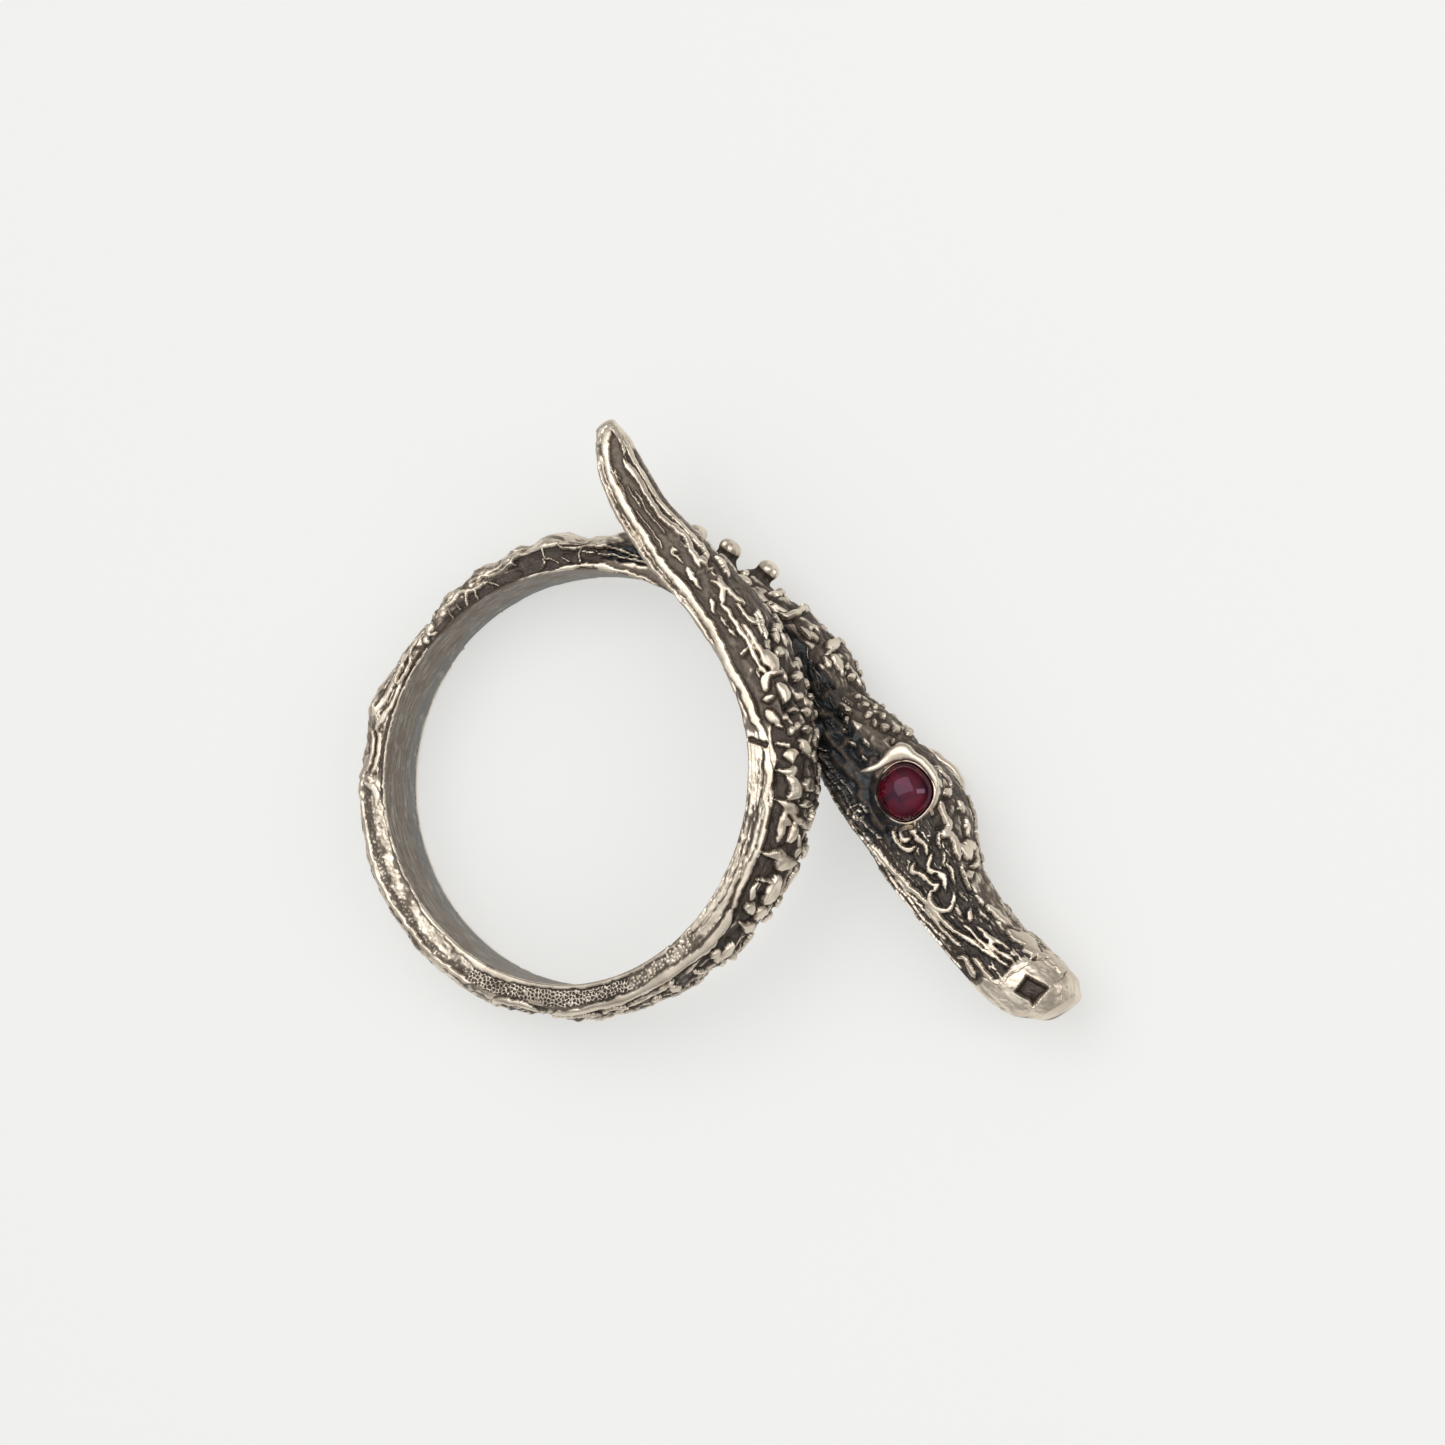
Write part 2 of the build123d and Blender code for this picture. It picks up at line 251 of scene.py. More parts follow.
def section_curve(columns, r):
    """Outward and sideways distances of the section at places r, one row for each q."""
    low, height, width, _, belly, flank, flank_at, shoulder, shoulder_at = columns.T
    half, flank_half, shoulder_half = 0.5 * belly * width, 0.5 * flank * width, 0.5 * shoulder * width
    flank_out, shoulder_out = low + flank_at * height, low + shoulder_at * height
    outward = np.zeros((len(columns), len(r)))
    sideways = np.zeros_like(outward)
    place = r % 5
    k = place < 1
    outward[:, k], sideways[:, k] = arc(
        (low, half), (flank_out, flank_half), (shoulder_out, shoulder_half), place[k])
    k = (place >= 1) & (place < 3)
    outward[:, k], sideways[:, k] = arc(
        (shoulder_out, shoulder_half), (low + height, 0 * low), (shoulder_out, -shoulder_half),
        0.5 * (place[k] - 1))
    k = (place >= 3) & (place < 4)
    outward[:, k], sideways[:, k] = arc(
        (shoulder_out, -shoulder_half), (flank_out, -flank_half), (low, -half), place[k] - 3)
    k = place >= 4
    outward[:, k] = low[:, None]
    sideways[:, k] = half[:, None] * (2 * (place[k] - 4) - 1)[None, :]
    return outward, sideways


def spine_frame(q):
    """Point on the bore wall and outward direction at q, in the plane of the hole."""
    start = math.radians(bypass_angle)
    snout_way = np.array([math.sin(start), -math.cos(start)])
    angle = start + np.clip(q, 0, turn_length) / bore_radius
    out = np.stack([np.cos(angle), np.sin(angle)], 1)
    ahead = np.where(q < 0, -q, 0) - np.where(q > turn_length, q - turn_length, 0)
    return bore_radius * out + ahead[:, None] * snout_way, out


def lay_out(q, outward, sideways, middle):
    """Points in the part's frame from section distances."""
    base, out = spine_frame(q)
    xy = base[:, None, :] + outward[:, :, None] * out[:, None, :]
    return np.concatenate([xy, (middle[:, None] + sideways)[:, :, None]], 2)


def clear_of_bore(points):
    """Moves points that stand inside the finger hole out to its wall."""
    reach = np.hypot(points[..., 0], points[..., 1])
    grow = np.where(reach < bore_radius, bore_radius / np.maximum(reach, 1e-6), 1)
    points[..., :2] *= grow[..., None]
    return points


def running(steps):
    """Running sum of steps along the last axis, from 0 on."""
    total = np.cumsum(steps, -1)
    return np.concatenate([np.zeros(total.shape[:-1] + (1,)), total], -1)


def place_of(q, r):
    """Distance round the section from the crest at places (q, r), positive on the upper side."""
    outward, sideways = section_curve(body_columns(q), section_places)
    run = running(np.hypot(np.diff(outward), np.diff(sideways)))
    crest = run[:, len(section_places) // 2]
    return np.array([crest[i] - np.interp(r[i], section_places, run[i]) for i in range(len(q))])


def head_value(station, column):
    """Value of a head column, straight between rows."""
    return float(np.interp(station, [row[0] for row in head_rows], [row[column] for row in head_rows]))


eye_along = eye_station * head_length
eye_jaw = head_height * head_value(eye_station, 1)
eye_crown = head_height * head_value(eye_station, 2)
eye_out = bore_radius + eye_jaw + eye_share * (eye_crown - eye_jaw)
eye_middle = low_edge_z + eye_apex * head_value(eye_station, 4)


# Seeded noise on a lattice, and smooth steps

def lattice(ix, iy, iz, seed):
    """Repeatable value from 0 to 1 for each lattice point."""
    h = (ix.astype(np.uint32) * np.uint32(374761393) + iy.astype(np.uint32) * np.uint32(668265263)
         + iz.astype(np.uint32) * np.uint32(2246822519) + np.uint32(seed * 3266489 % 4294967291))
    h = (h ^ (h >> np.uint32(13))) * np.uint32(1274126177)
    h = (h ^ (h >> np.uint32(15))) * np.uint32(2654435761)
    return (h ^ (h >> np.uint32(16))).astype(np.float64) / 4294967295.0


def noise(x, y, z, seed):
    """Smooth value noise from -1 to 1."""
    fx, fy, fz = np.floor(x), np.floor(y), np.floor(z)
    ix, iy, iz = fx.astype(np.int64), fy.astype(np.int64), fz.astype(np.int64)
    tx, ty, tz = (t * t * t * (t * (6 * t - 15) + 10) for t in (x - fx, y - fy, z - fz))
    value = 0
    for dx in (0, 1):
        wx = tx if dx else 1 - tx
        for dy in (0, 1):
            wy = ty if dy else 1 - ty
            for dz in (0, 1):
                wz = tz if dz else 1 - tz
                value = value + wx * wy * wz * lattice(ix + dx, iy + dy, iz + dz, seed)
    return 2 * value - 1


def layered(x, y, z, seed, octaves):
    """Sum of noises, each twice as fine and half as strong as the last."""
    total, weight = 0, 0
    for octave in range(octaves):
        fine = 2.03**octave
        total = total + noise(x * fine, y * fine, z * fine, seed + octave) / 2**octave
        weight += 1 / 2**octave
    return total / weight


def cells(x, y, seed, jitter):
    """Distances to the nearest and second nearest cell points, a value and a tilted face for each cell."""
    fx, fy = np.floor(x), np.floor(y)
    near = np.full(x.shape, 9.0)
    second = np.full(x.shape, 9.0)
    value = np.zeros(x.shape)
    face = np.zeros(x.shape)
    zero = np.zeros(x.shape, np.int64)
    for dx in (-1, 0, 1):
        for dy in (-1, 0, 1):
            cx, cy = (fx + dx).astype(np.int64), (fy + dy).astype(np.int64)
            px = cx + 0.5 + jitter * (lattice(cx, cy, zero, seed) - 0.5)
            py = cy + 0.5 + jitter * (lattice(cx, cy, zero, seed + 7) - 0.5)
            gap = np.hypot(x - px, y - py)
            nearer = gap < near
            second = np.where(nearer, near, np.minimum(second, gap))
            value = np.where(nearer, lattice(cx, cy, zero, seed + 13), value)
            tilt = (lattice(cx, cy, zero, seed + 17) - 0.5) * (x - px)
            tilt += (lattice(cx, cy, zero, seed + 23) - 0.5) * (y - py)
            face = np.where(nearer, tilt, face)
            near = np.minimum(near, gap)
    return near, second, value, face


def ramp(x, low, high):
    """0 below low, 1 above high, smooth between; falls where high is below low."""
    t = np.clip((x - low) / (high - low), 0, 1)
    return t * t * (3 - 2 * t)


def window(x, low, high, soft):
    """1 between low and high, fading over soft beyond each end."""
    return ramp(x, low - soft, low) * (1 - ramp(x, high, high + soft))


def softened(field, passes, axis):
    """Field after repeated small blurs along one axis."""
    for _ in range(passes):
        padded = np.concatenate([field.take([0], axis), field, field.take([-1], axis)], axis)
        n = padded.shape[axis]
        field = (0.25 * padded.take(range(0, n - 2), axis) + 0.5 * padded.take(range(1, n - 1), axis)
                 + 0.25 * padded.take(range(2, n), axis))
    return field


def blurred(field, passes):
    """Field after repeated small blurs both ways."""
    return softened(softened(field, passes, 0), passes, 1)


def table_at(rows, q):
    """Second column of a table at q, straight between its rows."""
    return np.interp(q, *np.array(rows).T)


def shift_at(q, sign):
    """How much further along the body a stroke lies on the lower side."""
    return 0 * q if sign > 0 else table_at(shift_rows, q)


def lengthened(points):
    """The points with one more at each end, straight on."""
    p = np.array(points, float)
    return np.vstack([2 * p[0] - p[1], p, 2 * p[-1] - p[-2]])


def between(a, b, c, d, t):
    """Point at share t of the smooth curve from b to c, with a before them and d after them."""
    return 0.5 * (2 * b + (c - a) * t + (2 * a - 5 * b + 4 * c - d) * t**2 + (3 * b - a - 3 * c + d) * t**3)


def smooth_path(points):
    """Points every few hundredths of a millimetre on a smooth curve through (q, r) points."""
    p = lengthened(points)
    out = []
    for a, b, c, d in zip(p, p[1:], p[2:], p[3:]):
        count = max(2, int(np.hypot(c[0] - b[0], 1.8 * (c[1] - b[1])) / (0.8 * relief_step)))
        out.append(between(a, b, c, d, np.linspace(0, 1, count, endpoint=False)[:, None]))
    return np.vstack(out + [p[-2:-1]]).T


def curve_through(rows, count):
    """Evenly counted points on a smooth curve through the rows of a table."""
    p = lengthened(rows)
    spans = len(p) - 3
    u = np.linspace(0, spans, count)
    i = np.minimum(u.astype(int), spans - 1)
    return between(p[i], p[i + 1], p[i + 2], p[i + 3], (u - i)[:, None])


class Patch:
    """A stretch of the cast body as a grid of points, with its relief, polish and patina."""

    def __init__(self, q_first, q_last):
        self.q = np.arange(q_first, q_last + 0.5 * relief_step, relief_step)
        self.r = self.section_steps(0.5 * (q_first + q_last))
        columns = body_columns(self.q)
        self.out, self.side = section_curve(columns, self.r)
        points = lay_out(self.q, self.out, self.side, columns[:, 3])
        passes = int(2 * (edge_rounding / relief_step) ** 2) + 1
        wrap = 2 * passes
        wrapped = np.concatenate([points[:, -wrap:], points, points[:, :wrap]], 1)
        self.base = clear_of_bore(softened(wrapped, passes, 1)[:, wrap:-wrap])
        run = running(np.linalg.norm(np.diff(self.base, axis=1), axis=2))
        crest = np.array([np.interp(2, self.r, run[i]) for i in range(len(self.q))])
        self.s = crest[:, None] - run
        on_turn = (self.q > 0) & (self.q < turn_length)
        self.stretch = 1 + np.where(on_turn, 1, 0)[:, None] * self.out / bore_radius
        self.normal = self.normals_of(self.base)
        self.q2 = np.repeat(self.q[:, None], len(self.r), 1)
        self.r2 = np.repeat(self.r[None, :], len(self.q), 0)
        self.warp_q = 0.05 * self.wave(11, 0.35) + 0.03 * self.wave(12, 0.16)
        self.warp_s = 0.05 * self.wave(21, 0.35) + 0.03 * self.wave(22, 0.16)
        self.raised, self.cover, self.cut, self.pit, self.polished, self.moat = np.zeros((6,) + self.s.shape)

    def section_steps(self, q_middle):
        """Places round the section: fine over the relief, coarser over the bore wall."""
        outward, sideways = section_curve(body_columns(np.array([q_middle])), section_places)
        run = running(np.hypot(np.diff(outward[0]), np.diff(sideways[0])))
        relief_r = np.interp(np.linspace(0, run[-1], int(run[-1] / relief_step)), run, section_places)
        belly_half = 0.5 * np.ptp(sideways[0][[0, -1]])
        share = np.linspace(0, 1, max(6, int(belly_half / bore_step)), endpoint=False)
        belly_r = -0.5 * (1 - share) ** 1.6
        return np.concatenate([belly_r, relief_r, 4 - belly_r[:0:-1]])

    def wave(self, seed, size, across=None, octaves=1):
        """Noise over the patch, of one size along the body and another across it."""
        across = across or size
        return layered(self.q2 / size, self.out / across, self.side / across, seed, octaves)

    def normals_of(self, points):
        """Outward unit normals of the grid."""
        wrapped = np.concatenate([points[:, -1:], points, points[:, :1]], 1)
        around = wrapped[:, 2:] - wrapped[:, :-2]
        normal = np.cross(around, np.gradient(points, axis=0))
        normal /= np.linalg.norm(normal, axis=2, keepdims=True) + 1e-12
        centre = points.mean(1, keepdims=True)
        return normal if ((points - centre) * normal).sum() > 0 else -normal

    def misses(self, q, reach):
        """Whether all of q lies further than reach off the patch."""
        return np.max(q) < self.q[0] - reach or np.min(q) > self.q[-1] + reach

    def stamp(self, q, s, half_q, half_s, turn=0.0, wavy=1.0, power=2.0):
        """Where a brush lies, its value from 1 at the middle to 0 at the rim, and the moat round it."""
        reach = 1.15 * max(half_q, half_s) + moat_width
        first = int(np.searchsorted(self.q, q - reach))
        last = int(np.searchsorted(self.q, q + reach))
        if last - first < 1:
            return None
        row = self.s[(first + last) // 2]
        left = len(row) - int(np.searchsorted(row[::-1], s + reach))
        right = len(row) - int(np.searchsorted(row[::-1], s - reach))
        if right - left < 1:
            return None
        at = (slice(first, last), slice(left, right))
        x = (self.q2[at] - q) * self.stretch[at] + wavy * self.warp_q[at]
        y = self.s[at] - s + wavy * self.warp_s[at]
        c, n = math.cos(math.radians(turn)), math.sin(math.radians(turn))
        spread = np.abs((c * x + n * y) / half_q) ** power + np.abs((c * y - n * x) / half_s) ** power
        spread = spread ** (2 / power)
        beyond = (np.sqrt(spread) - 1) * min(half_q, half_s)
        return at, np.clip(1 - spread, 0, 1), 1 - ramp(beyond, 0.01, moat_width)

    def raise_at(self, found, height, shine=1.0):
        """Raises and polishes the ground under a stamp."""
        at, value, near = found
        bump = 0.75 * ramp(value, 0.0, 0.5) + 0.25 * value
        self.moat[at] = np.maximum(self.moat[at], near)
        self.raised[at] = np.maximum(self.raised[at], height * bump + 1e-4 * (bump > 0))
        self.cover[at] = np.maximum(self.cover[at], np.clip(2.2 * bump, 0, 1))
        self.polished[at] = np.maximum(self.polished[at], shine * np.clip(2.2 * bump - 0.35, 0, 1))

    def line(self, half, height, shine, points):
        """Raised line through points (q, r), or (q, r, half width); its height falls at its ends."""
        q, r, *widths = smooth_path(points)
        if self.misses(q, 1.0):
            return
        s = place_of(q, r)
        run = running(np.hypot(np.diff(q), np.diff(s)))
        taper = 0.35 + 0.65 * np.clip(np.minimum(run, run[-1] - run) / (2.5 * half), 0, 1)
        widths = (np.maximum(widths[0], 0.02) if widths else half * taper) * table_at(gain_rows, q)
        for sign in (1, -1):
            shift = shift_at(q, sign)
            for k in range(len(q)):
                found = self.stamp(q[k] + shift[k], sign * s[k], widths[k], widths[k])
                if found:
                    self.raise_at(found, height * (0.6 + 0.4 * taper[k]), shine)

    def groove(self, half, depth, points):
        """Cut line through points (q, r)."""
        q, r = smooth_path(points)
        if self.misses(q, 1.0):
            return
        s = place_of(q, r)
        for sign in (1, -1):
            for k in range(len(q)):
                found = self.stamp(q[k], sign * s[k], half, half)
                if found:
                    at, value, _ = found
                    self.cut[at] = np.maximum(self.cut[at], depth * value**0.6)

    def pocket(self, q, r, size, turn, depth):
        """Square pit with a dark floor and a raised rim."""
        if self.misses(q, 1.0):
            return
        s = place_of(np.array([q]), np.array([r]))[0]
        for sign in (1, -1):
            c, n = math.cos(math.radians(sign * turn)), math.sin(math.radians(sign * turn))
            x, y = self.q2 - q + 0.5 * self.warp_q, self.s - sign * s + 0.5 * self.warp_s
            across = np.maximum(np.abs(c * x + n * y), np.abs(c * y - n * x))
            pit = 1 - ramp(across, 0.5 * size - 0.05, 0.5 * size + 0.05)
            rim = window(across, 0.5 * size + 0.04, 0.5 * size + 0.14, 0.08)
            self.cut = np.maximum(self.cut, depth * pit - 0.09 * rim)
            self.pit = np.maximum(self.pit, pit)

    def blob(self, q, r, length, breadth, turn, height):
        """Raised scale or lump at (q, r), its length turned from the body's direction."""
        if self.misses(q, 1.5):
            return
        s = place_of(np.array([q]), np.array([r]))[0]
        gain = scale_gain * (0.5 * table_at(gain_rows, q))
        for sign in (1, -1):
            found = self.stamp(q + shift_at(q, sign), sign * s, gain * length, gain * breadth,
                               sign * turn, scale_wavy, scale_power)
            if found:
                self.raise_at(found, height)


# Zones of the relief: q and r ranges with their soft ends, how far the ground is sunk, how black
# the patina is, and how strong the streaks, chips, scales, lumps, pebbles and plain polish are;
# negative pebbles are dark cells in a raised net
zone_rows = [
    # q0, q1, soft, r0, r1, soft, sunk, dark, streak, chip, scale, lump, pebble, polish
    (-20.5, -17.9, 0.3, -0.1, 2.00, 0.10, 0.00, 0.30, 0.0, 0.2, 0.0, 0.5, 0.0, 1.1),
    (-17.6, -10.4, 0.5, 0.34, 0.95, 0.06, 0.12, 0.76, 1.0, 0.5, 0.0, 0.5, 0.0, 0.0),
    (-17.6, -13.4, 0.5, 1.02, 2.00, 0.08, 0.04, 0.30, 0.7, 0.6, 0.0, 1.0, 0.0, 0.45),
    (-13.4, -10.4, 0.5, 1.02, 2.00, 0.08, 0.06, 0.42, 0.5, 0.35, 0.0, 0.4, 0.0, 0.4),
    (-10.4, -5.0, 0.5, -0.1, 0.62, 0.06, 0.10, 0.92, 0.4, 1.0, 0.0, 0.5, 0.0, 0.0),
    # Flank of the neck under the tail strand: black patina, partly painted shade from the strand that lies
    # over it
    (-7.0, 9.0, 0.6, 0.45, 0.98, 0.06, 0.12, 0.92, 0.4, 1.4, 0.0, 0.6, 0.0, 0.0),
    (-7.2, -4.4, 0.5, 0.90, 2.00, 0.10, 0.08, 0.40, 0.3, 0.8, 0.0, 0.8, 0.0, 0.15),
    (-4.4, 9.0, 0.5, 1.00, 2.00, 0.10, 0.08, 0.45, 0.4, 1.0, 0.0, 1.0, 0.0, 0.2),
    (8.2, 12.4, 0.5, 0.10, 0.86, 0.08, 0.12, 0.68, 0.2, 0.4, 0.0, 0.8, 0.2, 0.0),
    (12.0, 14.6, 0.6, 0.04, 0.42, 0.12, 0.08, 0.62, 0.2, 0.4, 0.0, 0.8, 0.2, 0.0),
    (8.4, 14.0, 1.8, 0.94, 2.00, 0.06, -0.03, 0.30, 0.3, 0.5, 0.0, 1.2, 0.2, 0.85),
    (12.0, 20.0, 0.6, 0.50, 2.00, 0.12, 0.00, 0.34, 0.6, 0.8, 0.0, 1.0, 0.2, 0.62),
    (14.6, 16.9, 0.5, 0.00, 0.30, 0.10, 0.08, 0.48, 0.2, 0.4, 0.0, 0.6, 0.2, 0.0),
    (16.5, 23.5, 0.6, 0.02, 0.20, 0.05, 0.06, 0.40, 0.4, 0.3, 0.0, 0.6, 0.2, 0.1),
    (17.4, 23.5, 0.4, 0.24, 2.00, 0.08, 0.00, 0.34, 0.5, 0.7, 0.0, 0.8, 0.1, 0.60),
    (23.5, 34.0, 0.8, 0.14, 0.56, 0.08, 0.02, 0.20, 0.0, 0.2, 0.0, 0.9, 0.3, 0.75),
    (23.5, 34.0, 0.8, 0.56, 0.84, 0.08, 0.04, 0.30, 0.2, 0.4, 0.2, 0.9, 0.5, 0.3),
    (23.5, 34.0, 0.8, 0.84, 2.00, 0.08, 0.00, 0.25, 0.2, 0.4, 0.0, 0.9, 0.2, 0.75),
    (33.5, 41.0, 0.9, 0.16, 0.84, 0.06, 0.03, 0.50, 0.0, 0.0, 0.0, 0.3, -1.0, 0.0),
    (41.0, 45.5, 0.7, 0.16, 0.84, 0.06, 0.02, 0.30, 0.0, 0.0, 0.0, 0.3, 0.8, 0.45),
    (44.6, 52.6, 0.8, -0.1, 0.66, 0.04, 0.00, 0.38, 0.30, 0.05, 0.0, 0.3, 0.0, 0.86),
    (46.0, 54.5, 0.8, 0.68, 0.98, 0.04, 0.16, 0.66, 0.2, 0.5, 0.0, 0.8, 0.1, 0.0),
    (35.0, 44.0, 1.0, 1.05, 2.00, 0.08, 0.08, 0.48, 0.2, 1.0, 0.4, 0.6, 0.0, 0.25),
    (44.0, 58.0, 0.6, 1.00, 1.75, 0.06, 0.12, 0.58, 0.3, 1.1, 0.0, 0.8, 0.1, 0.2),
    (44.0, 58.0, 0.6, 1.75, 2.00, 0.06, 0.08, 0.50, 0.3, 1.0, 0.5, 0.6, 0.0, 0.3),
    (54.0, 62.0, 0.8, 0.30, 0.98, 0.05, 0.10, 0.36, 0.2, 0.4, 0.0, 0.5, 0.1, 0.0),
    (60.5, 67.9, 0.4, 0.46, 0.98, 0.05, 0.10, 0.32, 0.12, 0.15, 0.0, 0.3, 0.1, 0.0),
    (57.0, 66.5, 0.8, 1.10, 2.00, 0.08, 0.08, 0.42, 0.5, 0.5, 0.0, 0.4, 0.0, 0.2),
    (-10.6, -7.2, 0.4, 0.95, 2.00, 0.08, 0.06, 0.46, 0.5, 0.4, 0.0, 0.5, 0.0, 0.2),
    (-17.0, -10.4, 0.5, -0.1, 0.30, 0.06, 0.04, 0.62, 0.6, 0.3, 0.0, 0.5, 0.0, 0.1),
    (59.0, 68.6, 0.6, -0.1, 0.34, 0.05, 0.00, 0.30, 0.1, 0.0, 0.0, 0.3, 0.0, 0.9),
    (68.1, 68.6, 0.2, -0.1, 2.00, 0.10, 0.00, 0.30, 0.0, 0.1, 0.0, 0.3, 0.0, 1.1),
]

# How much the crest stands above or below the base surface along the body: q, height
crest_rows = [
    (-20.0, 0.00), (-17.5, 0.05), (-16.0, -0.02), (-14.0, 0.00), (-12.0, 0.12), (-11.0, 0.30), (-9.6, 0.32),
    (-8.2, 0.12), (-6.8, 0.10), (-5.6, 0.06), (-4.0, -0.28), (-2.4, 0.08), (-1.2, 0.00), (0.3, 0.10),
    (1.2, -0.05), (2.3, 0.06), (3.0, -0.06), (3.7, 0.06), (4.4, -0.06), (5.1, 0.10), (5.8, -0.06),
    (6.6, 0.10), (7.4, 0.08), (8.8, -0.28), (9.6, 0.10), (10.3, 0.30), (11.0, 0.0), (11.6, 0.16),
    (12.4, -0.08), (13.4, 0.14), (14.3, -0.04), (14.9, 0.05), (16.2, -0.22), (18.2, -0.18), (19.3, -0.10),
    (20.3, 0.22), (21.0, 0.0), (21.9, -0.20), (23.3, 0.03), (25.0, -0.03), (27.0, 0.06), (29.5, 0.0),
    (32.0, 0.05), (34.9, 0.10), (36.0, -0.05), (37.6, 0.10), (38.6, -0.04), (40.0, 0.06), (41.0, -0.04),
    (42.2, 0.06), (43.2, -0.05), (44.4, 0.08), (45.5, -0.05), (46.6, 0.08), (47.6, -0.04), (48.6, 0.08),
    (49.8, -0.04), (51.0, 0.08), (52.2, -0.02), (54.0, 0.05), (57.0, 0.0), (60.2, 0.05), (61.8, 0.08),
    (64.0, -0.05), (66.5, 0.0), (68.3, 0.0),
]

# How much wider than their table widths the strokes are laid along the body: q, factor
gain_rows = [
    (-20, 1.35), (-17.5, 1.75), (-11, 1.75), (-9, 1.3), (-7.5, 1.2), (-6.8, 0.95), (-4.2, 0.95), (-3, 1.25),
    (4, 1.25), (6, 1.1), (43, 1.1), (45, 1.4), (57, 1.4), (59, 1.2),
]

# How deep and dark the line round each stroke is along the body: q, share
moat_rows = [
    (-20, 0.8), (-10, 1.0), (4, 1.0), (8, 0.5), (24, 0.4), (43, 0.6), (46, 1.0), (54, 0.9), (57, 0.45),
    (68, 0.3),
]

# How much further along the body the strokes lie on the lower side, so that the sides differ: q, distance
shift_rows = [(-17.5, 0), (-16, 0.35), (-11, 0.35), (-9.5, 0), (-7, 0.2), (6, 0.3), (20, 0.55), (57, 0.55),
              (62, 0.2)]

